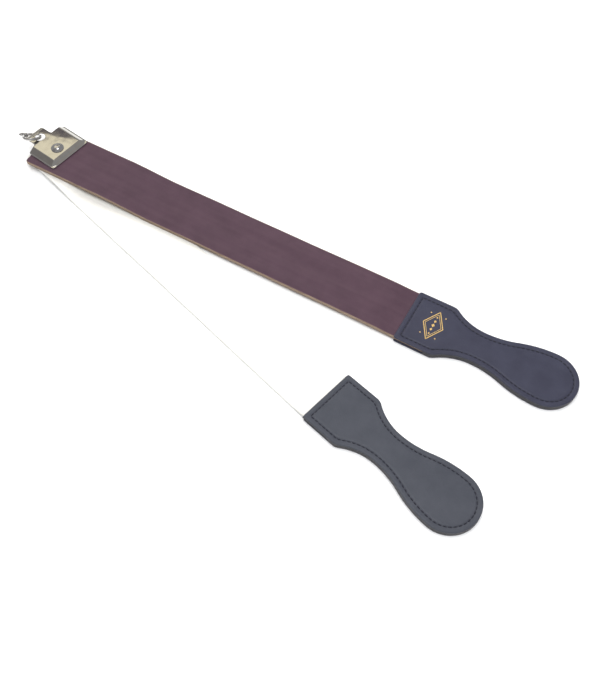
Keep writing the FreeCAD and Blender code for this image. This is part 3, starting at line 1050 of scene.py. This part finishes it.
@dataclass
class Paddle:
    """One stitched handle: two moulded covers, their stitches and the filler between them."""

    prefix: str
    body: Body
    seat: Seat
    shape: PaddleShape = field(default_factory=PaddleShape)
    stitching: Stitching = field(default_factory=Stitching)
    crown: float = 0.22
    spine_start: float = 15.0
    crown_steps: int = 9
    sink: float = 0.06
    field_inset: float = 0.8
    flat_steps: int = 3

    def spine(self, x: float) -> float:
        """Where a point of the outline meets the handle's middle line."""
        return min(max(x, self.spine_start), self.shape.length - self.shape.bulb)

    def lay_ring(self, build: Build, rim: Sequence[Point], share: float, high: float) -> list[int]:
        """Ring of an outline drawn in towards the middle line by a share, at one level."""
        points = []
        for x, y in rim:
            points.append(self.seat.at(x + (self.spine(x) - x) * share, y * (1 - share), high))
        return build.ring(points)

    def cover(self, facing: Facing, material: Material) -> Object:
        """One moulded leather cover with its border, groove and crowned field."""
        word = "top" if facing is Facing.UP else "bottom"
        node = "%s_%s_cover" % (self.prefix, word)
        seam = level(node) if facing is Facing.UP else level(node, top=True)
        build = Build()
        last: list[int] = []
        first: list[int] = []
        for inset, rise in COVER_SECTION:
            ring = self.lay_ring(build, self.shape.outline(inset), 0.0, seam + facing.value * rise)
            first = first or ring
            if last:
                build.bridge(last, ring)
            last = ring
        rim = self.shape.outline(COVER_SECTION[-1][0] + self.field_inset)
        crown = self.crown if facing is Facing.UP else 0.0
        for k in range(self.crown_steps + 1):
            share = k / self.crown_steps
            rise = COVER_SECTION[-1][1] + crown * math.sin(share * math.pi / 2)
            ring = self.lay_ring(build, rim, share, seam + facing.value * rise)
            build.bridge(last, ring)
            last = ring
        # The flat side that meets the filler.
        last = first
        rim = self.shape.outline(COVER_SECTION[0][0])
        for k in range(1, self.flat_steps + 1):
            ring = self.lay_ring(build, rim, k / self.flat_steps, seam)
            build.bridge(last, ring)
            last = ring
        item = build.piece("%s_%s_leather" % (self.prefix, word))
        crease(item, 60)
        return dress(item, self.body, Slot.HANDLE, [material], [node])

    def stitches(self, facing: Facing, material: Material, seed: int) -> Object:
        """The stitches of one face."""
        word = "top" if facing is Facing.UP else "bobbin"
        node = "%s_%s_thread" % (self.prefix, word)
        floor = level(node) - self.sink if facing is Facing.UP else level(node, top=True) + self.sink
        build = Build()
        line = self.shape.outline(self.stitching.inset)
        inset = self.stitching.inset
        edge = sorted({p for p in line if p[0] <= inset + 1e-6}, key=lambda p: p[1])
        around = [p for p in self.shape.half(inset) if p[0] > inset + 1e-6]
        start = (inset, self.shape.head_width / 2 - inset)
        loop = [start] + around + [(x, -y) for x, y in reversed(around[:-1])] + [(start[0], -start[1])]
        chance = random.Random(seed)
        for path in (edge, loop):
            self.stitching.sew(build, self.seat, path, floor, facing, chance)
        item = build.piece("%s_%s_stitches" % (self.prefix, word), merge=1e-8)
        return dress(item, self.body, Slot.THREAD, [material], [node])

    def build(self, wardrobe: Wardrobe, leather: Material, seed: int) -> None:
        """Make and dress the whole handle."""
        self.cover(Facing.UP, leather)
        self.cover(Facing.DOWN, leather)
        self.stitches(Facing.UP, wardrobe.thread, seed)
        self.stitches(Facing.DOWN, wardrobe.thread, seed + 1)
        paint_node(self.prefix + "_core", wardrobe.core)


@dataclass
class GiltMark:
    """A plain gold lozenge pattern pressed into a handle; millimetres."""

    seat: Seat
    under: str
    x: float = 24.0
    across: float = 31.0
    along: float = 18.5
    line: float = 0.7
    thin_line: float = 0.4
    inner_share: float = 0.8
    stud_gap: float = 4.3
    stud: float = 2.9
    dot: float = 0.6
    lift: float = 0.07
    tip: float = 0.12
    arc: int = 3
    pitch: float = 0.5
    stud_stretch: float = 1.25
    stud_taper: float = 0.22
    dot_share: float = 0.36
    dot_sides: int = 14

    def lozenge(self, x: float, y: float, along: float, across: float) -> list[Corner]:
        """Corners of a lozenge of a given length and width."""
        tips = ((along / 2, 0), (0, across / 2), (-along / 2, 0), (0, -across / 2))
        return [Corner(x + dx, y + dy, self.tip) for dx, dy in tips]

    def line_round(self, build: Build, drop: Drop, corners: Sequence[Corner], width: float) -> None:
        """One closed line of a given width."""
        rings = []
        for inset in (0.0, width):
            outline = rounded_outline(corners, inset, self.arc, self.pitch)
            rings.append(build.ring([drop(x, y) for x, y in outline]))
        build.bridge(rings[0], rings[1])

    def stud_at(self, build: Build, drop: Drop, y: float, size: float) -> None:
        """One solid lozenge on the pattern's long axis."""
        corners = self.lozenge(0, y, size, size * self.stud_stretch)
        outline = rounded_outline(corners, 0.0, self.arc, self.pitch)
        build.fan(build.ring([drop(px, py) for px, py in outline]), build.ring([drop(0, y)])[0])

    def dot_at(self, build: Build, drop: Drop, x: float, y: float) -> None:
        """One round dot."""
        angles = [2 * math.pi * i / self.dot_sides for i in range(self.dot_sides)]
        edge = [drop(x + self.dot * math.cos(a), y + self.dot * math.sin(a)) for a in angles]
        build.fan(build.ring(edge), build.ring([drop(x, y)])[0])

    def build(self, material: Material) -> Object:
        """Press the pattern onto the cover."""
        surface = bpy.data.objects[self.under]
        tree = BVHTree.FromPolygons([surface.matrix_world @ v.co for v in surface.data.vertices],
                                    [tuple(p.vertices) for p in surface.data.polygons])

        def drop(x: float, y: float) -> Vector:
            """Point on the cover below a place of the pattern, just above the leather."""
            hit = tree.ray_cast(self.seat.at(self.x + x, y, 50), Vector((0, 0, -1)))[0]
            return hit + Vector((0, 0, self.lift * MM))

        build = Build()
        self.line_round(build, drop, self.lozenge(0, 0, self.along, self.across), self.line)
        inner = self.lozenge(0, 0, self.along * self.inner_share, self.across * self.inner_share)
        self.line_round(build, drop, inner, self.thin_line)
        for k in (-2, -1, 0, 1, 2):
            self.stud_at(build, drop, k * self.stud_gap, self.stud * (1 - self.stud_taper * abs(k)))
        for side in (1, -1):
            for end in (1, -1):
                self.dot_at(build, drop, side * self.along * self.dot_share,
                            end * self.across * self.dot_share)
        item = build.piece("gilt_mark", merge=1e-8)
        for polygon in item.data.polygons:
            if polygon.normal.z < 0:
                polygon.flip()
        return dress(item, Body.LEATHER, Slot.HANDLE, [material])


# --- clamp


@dataclass
class ClampPlate:
    """Pressed front plate: lip, bevels, plateau, and the neck with the ring's eye; millimetres."""

    seat: Seat
    rear: float = 20.8
    front: float = 13.4
    width: float = 45.0
    offset: float = 3.4
    plateau_front: float = 8.6
    plateau_width: float = 32.0
    rise: float = 3.6
    lip: float = 0.5
    front_lip: float = 0.9
    neck_out: float = 10.7
    neck_width: float = 20.0
    bead: float = 0.9
    bead_rise: float = 0.42
    eye_place: float = 23.8
    eye_radius: float = 4.8
    thick: float = 1.0
    corner: float = 3.0
    neck_corner: float = 3.0
    fillet: float = 1.3
    back_bend: float = 1.2
    grid: float = 0.55
    arc: int = 8
    pitch: float = 0.7
    eye_steps: int = 72
    straight: float = 0.45
    neck_blend: float = 2.0
    under_share: float = 0.995
    eye_slack: float = 0.998
    edge_rings: tuple[Point, ...] = ((0.0, 0.34), (0.06, 0.18), (0.17, 0.06), (0.36, 0.0), (0.75, 0.0))

    def corners(self) -> list[Corner]:
        """Corners of the cut sheet."""
        near, far = self.offset - self.width / 2, self.offset + self.width / 2
        neck = self.neck_width / 2
        left = -self.rear - self.neck_out - self.bead
        return [
            Corner(self.front, near, self.corner), Corner(self.front, far, self.corner),
            Corner(-self.rear, far, self.corner), Corner(-self.rear, neck, self.fillet),
            Corner(left, neck, self.neck_corner), Corner(left, -neck, self.neck_corner),
            Corner(-self.rear, -neck, self.fillet), Corner(-self.rear, near, self.corner),
        ]

    def height(self, x: float, y: float) -> float:
        """Level of the sheet's top above its lip."""
        out = abs(y - self.offset) - self.plateau_width / 2
        side = out / (self.width / 2 - self.lip - self.plateau_width / 2)
        ahead = (x - self.plateau_front) / (self.front - self.front_lip - self.plateau_front)
        behind = (-self.rear + self.back_bend - x) / self.back_bend
        behind *= ease((abs(y) - self.neck_width / 2) / self.neck_blend)
        fall = min(1.0, math.hypot(max(side, 0.0), max(ahead, 0.0), max(behind, 0.0)))
        fall = self.straight * fall + (1 - self.straight) * ease(fall)
        roll = (x + self.rear + self.neck_out) / self.bead
        curl = self.bead_rise * math.sqrt(max(0.0, 1.0 - roll * roll))
        return self.rise * (1 - fall) + curl

    def eye(self, inset: float) -> list[Point]:
        """Circle of the eye, drawn outside it by inset."""
        radius = self.eye_radius + inset
        angles = [-2 * math.pi * i / self.eye_steps for i in range(self.eye_steps)]
        return [(-self.eye_place + radius * math.cos(a), radius * math.sin(a)) for a in angles]

    def edge_line(self, inset: float) -> list[Point]:
        """Outline of the sheet, drawn inside it by inset."""
        return rounded_outline(self.corners(), inset, self.arc, self.pitch)

    def build(self, material: Material) -> Object:
        """Make and dress the plate."""
        base = level("clamp_front_plate") + self.thick
        loops = [(self.edge_line(d), s) for d, s in self.edge_rings]
        holes = [(self.eye(d), s) for d, s in self.edge_rings]
        flat: list[Vector] = []
        drops: list[float] = []
        borders: list[list[int]] = []
        for outline, sink in loops + holes:
            start = len(flat)
            flat += [Vector(p) for p in outline]
            drops += [sink] * len(outline)
            borders.append(list(range(start, len(flat))))
        for spot in self.grid_points():
            flat.append(spot)
            drops.append(0.0)
        edges = [(ring[i], ring[(i + 1) % len(ring)]) for ring in borders for i in range(len(ring))]
        spots, _, faces, origins, _, _ = delaunay_2d_cdt(flat, edges, [], 0, 1e-7)
        sinks = [max((drops[o] for o in origin), default=0.0) for origin in origins]
        build = Build()
        under = base - self.thick
        high = [self.height(p.x, p.y) for p in spots]
        top = build.ring([self.seat.at(p.x, p.y, base + h - s) for p, h, s in zip(spots, high, sinks)])
        low = build.ring([self.seat.at(p.x, p.y, under + h * self.under_share + s)
                          for p, h, s in zip(spots, high, sinks)])
        for face in faces:
            centre = sum((spots[i] for i in face), Vector((0, 0))) / len(face)
            from_eye = math.hypot(centre.x + self.eye_place, centre.y)
            if inside(centre, loops[0][0]) and from_eye > self.eye_radius * self.eye_slack:
                build.face([top[i] for i in face])
                build.face([low[i] for i in reversed(face)])
        back = {o: n for n, origin in enumerate(origins) for o in origin}
        for ring in (borders[0], borders[len(loops)]):
            here = [back[i] for i in ring]
            build.bridge([top[i] for i in here], [low[i] for i in here])
        item = build.piece("clamp_front", merge=1e-7)
        crease(item, 55)
        return dress(item, Body.CLAMP, Slot.NICKEL, [material], ["clamp_front_plate"])

    def grid_points(self) -> Iterable[Vector]:
        """Inner points of the sheet, clear of its edge and its eye."""
        margin = self.grid * 0.6
        left = -self.rear - self.neck_out
        columns = int((self.front - left) / self.grid)
        rows = int(self.width / self.grid)
        near = self.offset - self.width / 2
        shrunk = self.edge_line(self.edge_rings[-1][0] + margin)
        reach = self.eye_radius + self.edge_rings[-1][0] + margin
        for i in range(columns + 1):
            for j in range(rows + 1):
                spot = Vector((left + i * self.grid, near + (j + 0.5 * (i % 2)) * self.grid))
                if inside(spot, shrunk) and math.hypot(spot.x + self.eye_place, spot.y) > reach:
                    yield spot


def inside(point: Vector, outline: Sequence[Point]) -> bool:
    """Whether a flat point lies inside a closed outline."""
    result = False
    for (ax, ay), (bx, by) in zip(outline, list(outline[1:]) + [outline[0]]):
        if (ay > point.y) != (by > point.y) and point.x < (bx - ax) * (point.y - ay) / (by - ay) + ax:
            result = not result
    return result


@dataclass
class Rivet:
    """Domed rivet; millimetres."""

    seat: Seat
    head: float = 6.0
    rim: float = 0.45
    shank: float = 2.5
    plateau: float = 4.6
    bevel: float = 0.15
    steps: int = 72
    dome_steps: int = 18

    def build(self, material: Material) -> Object:
        """Turn and dress the rivet."""
        top = level("rivet", top=True)
        foot = level("rivet")
        seat_level = level("clamp_front_plate") + self.plateau
        rise = top - seat_level - self.rim
        radius = (self.head**2 + rise**2) / (2 * rise)
        profile = [(0.0, foot), (self.shank, foot), (self.shank, seat_level),
                   (self.head - self.bevel, seat_level), (self.head, seat_level + self.bevel),
                   (self.head, seat_level + self.rim * 0.7)]
        sweep = math.asin(self.head / radius)
        for k in range(self.dome_steps + 1):
            angle = sweep * (1 - k / self.dome_steps)
            reach = radius * math.sin(angle)
            high = top - radius + radius * math.cos(angle)
            profile.append((max(0.0, min(reach, self.head - 0.06)), high))
        profile[-1] = (0.0, top)
        build = Build()
        place = Matrix.Translation(self.seat.origin)
        turned_rings(build, place, [(r * MM, z * MM) for r, z in profile], self.steps)
        item = build.piece("rivet_dome")
        crease(item, 50)
        return dress(item, Body.CLAMP, Slot.RIVET, [material], ["rivet"])


# --- ring and swivel eye


@dataclass
class RingAndEye:
    """Hanging ring with its boss, and the small eye that turns in it; millimetres."""

    seat: Seat
    eye_place: float = 23.8
    neck_mid: float = 13.3
    radius: float = 8.0
    wire: float = 1.3
    heading: float = 34.0
    tilt: float = 27.0
    boss_angle: float = 154.0
    boss_radius: float = 2.3
    boss_half: float = 1.7
    boss_swell: float = 0.12
    bore_gap: float = 0.05
    play: float = 0.15
    shank: float = 1.0
    peen: float = 1.8
    loop: float = 2.0
    loop_wire: float = 1.1

    def place(self) -> Matrix:
        """From the ring's own metres to the row frame."""
        angle = math.radians(self.heading)
        centre = self.seat.at(-self.eye_place - self.radius * math.cos(angle),
                              -self.radius * math.sin(angle), self.neck_mid)
        turn = Matrix.Rotation(angle + math.radians(self.seat.turn), 4, "Z")
        turn = turn @ Matrix.Rotation(-math.radians(self.tilt), 4, "X")
        return Matrix.Translation(centre) @ turn

    def out(self) -> Matrix:
        """From metres along the boss's axis, +Z outward, to the row frame."""
        angle = math.radians(self.boss_angle)
        return self.place() @ Matrix.Rotation(angle, 4, "Z") @ Matrix.Rotation(math.pi / 2, 4, "Y")

    def ring(self, material: Material) -> Object:
        """The ring and its boss."""
        build = Build()
        wire_loop(build, self.place(), self.radius * MM, self.wire * MM, 96, 20)
        low, high = self.radius - self.boss_half, self.radius + self.boss_half
        bore = self.shank + self.bore_gap
        profile = [(bore, low), (self.boss_radius - 0.35, low), (self.boss_radius - 0.08, low + 0.15),
                   (self.boss_radius, low + 0.5), (self.boss_radius + self.boss_swell, self.radius),
                   (self.boss_radius, high - 0.5), (self.boss_radius - 0.08, high - 0.15),
                   (self.boss_radius - 0.35, high), (bore, high), (bore, low)]
        turned_rings(build, self.out(), [(r * MM, z * MM) for r, z in profile], 36)
        item = build.piece("ring_wire")
        crease(item, 50)
        return dress(item, Body.RING, Slot.RING, [material], ["hanging_ring"])

    def eye(self, material: Material) -> Object:
        """The small eye, its collar, shank and peened head."""
        build = Build()
        low = self.radius - self.boss_half - self.play
        high = self.radius + self.boss_half + self.play
        profile = [(0.0, low - 1.0), (self.shank * 0.9, low - 0.97), (self.peen * 0.85, low - 0.55),
                   (self.peen, low - 0.25), (self.peen - 0.1, low - 0.05), (self.shank, low),
                   (self.shank, high), (self.peen - 0.2, high), (self.peen, high + 0.2),
                   (self.peen, high + 0.6), (self.peen * 0.75, high + 1.2), (0.0, high + 1.5)]
        turned_rings(build, self.out(), [(r * MM, z * MM) for r, z in profile], 32)
        reach = (high + self.loop + self.loop_wire) * MM
        upright = Matrix.Translation((0, 0, reach)) @ Matrix.Rotation(math.pi / 2, 4, "Z")
        stand = self.out() @ upright @ Matrix.Rotation(math.pi / 2, 4, "X")
        wire_loop(build, stand, self.loop * MM, self.loop_wire * MM, 48, 16)
        item = build.piece("eye_loop")
        crease(item, 50)
        return dress(item, Body.SWIVEL, Slot.RING, [material], ["swivel_eye"])


# --- studio


@dataclass(frozen=True)
class Card:
    """A soft-edged patch of the room, seen only as a tone in some direction."""

    heading: float
    height: float
    inner: float
    outer: float
    colour: Colour
    edge: tuple[Triple, ...] = ()
    softness: float = 0.0006

    def below(self, eye: Sequence[float]) -> Triple:
        """Normal of the plane under which the patch lies, from its mirrored straight edge.

        Args:
            eye: Where the edge's mirror image is seen from, in millimetres about the rivet.

        Returns:
            A unit normal that points down.
        """
        height = self.edge[0][2]
        mirrored = Vector((eye[0], eye[1], 2 * height - eye[2]))
        one, two = (Vector(p) - mirrored for p in self.edge)
        normal = one.cross(two).normalized()
        return tuple(normal if normal.z < 0 else -normal)

    def share(self, wiring: Wiring, ray: object, eye: Sequence[float]) -> object:
        """How much of the patch a direction sees, from 0 to 1."""
        turn, lift = math.radians(self.heading), math.radians(self.height)
        middle = (math.cos(turn) * math.cos(lift), math.sin(turn) * math.cos(lift), math.sin(lift))
        facing = wiring.node("ShaderNodeVectorMath", {0: ray, 1: middle}, operation="DOT_PRODUCT")
        low, high = math.cos(math.radians(self.outer)), math.cos(math.radians(self.inner))
        disc = wiring.span(facing.outputs["Value"], low, high)
        if not self.edge:
            return disc
        inputs = {0: ray, 1: self.below(eye)}
        under = wiring.node("ShaderNodeVectorMath", inputs, operation="DOT_PRODUCT")
        below = wiring.span(under.outputs["Value"], -self.softness, self.softness)
        return wiring.times(disc, below)


@dataclass
class Studio:
    """Floor, lights and camera; millimetres from the rivet."""

    rivet: Vector
    camera: Triple = (479.8, -377.5, 587.3)
    target: Triple = (301.9, -66.6, 0.0)
    lens: float = 43.54
    middle: Triple = (230, -60, 0)
    floor_half: float = 4.0
    floor_drop: float = 0.0002
    cards: tuple[Card, ...] = (
        Card(heading=142.0, height=43.0, inner=12.0, outer=24.0, colour=(1.36, 1.27, 1.00, 1.0)),
        Card(heading=222.0, height=40.0, inner=16.0, outer=30.0, colour=(0.30, 0.29, 0.29, 1.0)),
        Card(heading=45.0, height=50.0, inner=12.0, outer=24.0, colour=(0.46, 0.42, 0.40, 1.0)),
        Card(heading=90.0, height=60.0, inner=12.0, outer=26.0, colour=(0.40, 0.41, 0.44, 1.0)),
        Card(heading=142.0, height=78.0, inner=7.0, outer=10.0, colour=(4.0, 4.0, 4.0, 1.0)),
        Card(heading=138.0, height=42.0, inner=9.0, outer=14.0, colour=(0.19, 0.175, 0.20, 1.0),
             edge=((-27.3, 3.4, 13.8), (9.9, 19.9, 13.8))),
    )

    def look(self, item: Object, place: Vector, target: Vector) -> None:
        """Put a lamp or camera somewhere, looking at a point."""
        item.location = place
        item.rotation_euler = (target - place).to_track_quat("-Z", "Y").to_euler()

    def spot(self, place: Sequence[float]) -> Vector:
        """Row-frame point of a place about the rivet."""
        return self.rivet + Vector(place) * MM

    def shoot(self) -> None:
        """Add the camera."""
        lens = bpy.data.cameras.new("camera")
        lens.lens = self.lens
        lens.sensor_width = 36.0
        lens.clip_start = 0.01
        item = bpy.data.objects.new("camera", lens)
        bpy.context.scene.collection.objects.link(item)
        self.look(item, self.spot(self.camera), self.spot(self.target))
        bpy.context.scene.camera = item

    def lamp(self, name: str, place: Triple, size: float, watts: float, colour: Triple) -> None:
        """Add one soft square lamp, in metres and watts, that looks at the strop's middle."""
        light = bpy.data.lights.new(name, "AREA")
        light.shape = "SQUARE"
        light.size = size
        light.energy = watts
        light.color = colour
        item = bpy.data.objects.new(name, light)
        bpy.context.scene.collection.objects.link(item)
        item.visible_glossy = False
        self.look(item, self.spot(place), self.spot(self.middle))

    def floor(self) -> None:
        """Add the pale floor."""
        build = Build()
        corners = ((-1, -1), (1, -1), (1, 1), (-1, 1))
        half, low = self.floor_half, -self.floor_drop
        build.face(build.ring([Vector((x * half, y * half, low)) for x, y in corners]))
        item = build.piece("floor")
        made, wiring, shader = start_material("pale floor")
        feed(wiring, shader, Base_Color=(0.93, 0.93, 0.93, 1.0))
        feed(wiring, shader, Roughness=0.9)
        feed(wiring, shader, Specular_IOR_Level=0.1)
        item.data.materials.append(made)

    def surroundings(self) -> None:
        """A room that is cream and bright beyond the strop and greyer overhead and in front."""
        world = bpy.data.worlds.new("room")
        world.use_nodes = True
        bpy.context.scene.world = world
        wiring = Wiring(world.node_tree)
        back = next(n for n in world.node_tree.nodes if n.type == "BACKGROUND")
        ray = wiring.node("ShaderNodeTexCoord").outputs["Generated"]
        shade: object = (0.42, 0.42, 0.43, 1.0)
        for card in self.cards:
            shade = wiring.blend(card.share(wiring, ray, self.camera), shade, card.colour)
        world.node_tree.links.new(shade, back.inputs["Color"])
        back.inputs["Strength"].default_value = 1.0

    def build(self) -> None:
        """Set the whole studio up."""
        self.floor()
        self.surroundings()
        self.lamp("key", (-300, 900, 900), size=0.7, watts=13.0, colour=(1.0, 0.99, 0.97))
        self.lamp("fill", (500, -300, 1300), size=1.0, watts=16.0, colour=(0.98, 0.99, 1.0))
        bpy.context.scene.view_settings.view_transform = "Standard"


# --- the whole strop


@dataclass
class Strop:
    """The strop's two straps, two handles, clamp, ring and eye."""

    fan: float = 16.3
    skew: float = 1.7
    leather_reach: float = 367.0
    canvas_reach: float = 359.4
    tail: float = 20.0
    gap: float = 0.3
    plate_gap: float = 1.0
    canvas_fall: float = 28.0
    leather_fall: float = 58.0

    def build(self) -> None:
        """Build every piece in order."""
        wardrobe = Wardrobe()
        root = Seat(middle_of("rivet"))
        fanned = Seat(root.origin, -self.fan)
        canvas_clamped = level("clamp_back_plate", top=True) + self.gap
        canvas_thick = level("canvas_strap", top=True) - canvas_clamped
        leather_top = level("leather_strap", top=True)
        leather_clamped = canvas_clamped + canvas_thick + self.gap
        sewn = level("leather_handle_core")
        plate = ClampPlate(Seat(root.origin, -self.fan / 2))
        plate_reach = math.hypot(plate.front, plate.width / 2 + plate.offset) + self.plate_gap
        canvas_down = plate_reach + self.canvas_fall
        leather_flat = math.hypot(canvas_down, Strap.width / 2)
        leather = Strap("leather_band", "leather_strap", Body.LEATHER, Slot.STROP, root,
                        thick=leather_top - leather_clamped, tail=self.tail, reach=self.leather_reach,
                        flat_end=leather_flat, down_end=leather_flat + self.leather_fall,
                        clamped=leather_clamped, laid=canvas_thick + self.gap, sewn=sewn,
                        edge_round=0.55)
        leather.build([wardrobe.skin, wardrobe.tan_edge, wardrobe.flesh])
        linen = Strap("canvas_band", "canvas_strap", Body.CANVAS, Slot.CANVAS, fanned,
                      thick=canvas_thick, tail=self.tail, reach=self.canvas_reach,
                      flat_end=plate_reach, down_end=canvas_down,
                      clamped=canvas_clamped, laid=0.0, sewn=sewn, edge_round=0.85)
        band = linen.build([wardrobe.canvas] * 3)
        leather_paddle = Paddle("leather_handle", Body.LEATHER, root.moved(self.leather_reach, 0.0))
        leather_paddle.build(wardrobe, wardrobe.glazed, seed=11)
        canvas_paddle = Paddle("canvas_handle", Body.CANVAS, fanned.moved(self.canvas_reach, self.skew))
        canvas_paddle.build(wardrobe, wardrobe.faded, seed=23)
        GiltMark(leather_paddle.seat, "leather_handle_top_leather").build(wardrobe.gilt)
        plate.build(wardrobe.plate)
        Rivet(root).build(wardrobe.rivet)
        loose = RingAndEye(plate.seat)
        loose.ring(wardrobe.ring)
        loose.eye(wardrobe.ring)
        paint_node("clamp_back_plate", wardrobe.plate)
        paint_node("rivet_burr", wardrobe.rivet)
        paint_node("spacer_bush", wardrobe.steel)


def main() -> None:
    """Build the studio and the strop; the pieces' face counts are logged as they are made."""
    studio = Studio(middle_of("rivet"))
    studio.shoot()
    Strop().build()
    studio.build()


if __name__ == "__main__":
    main()
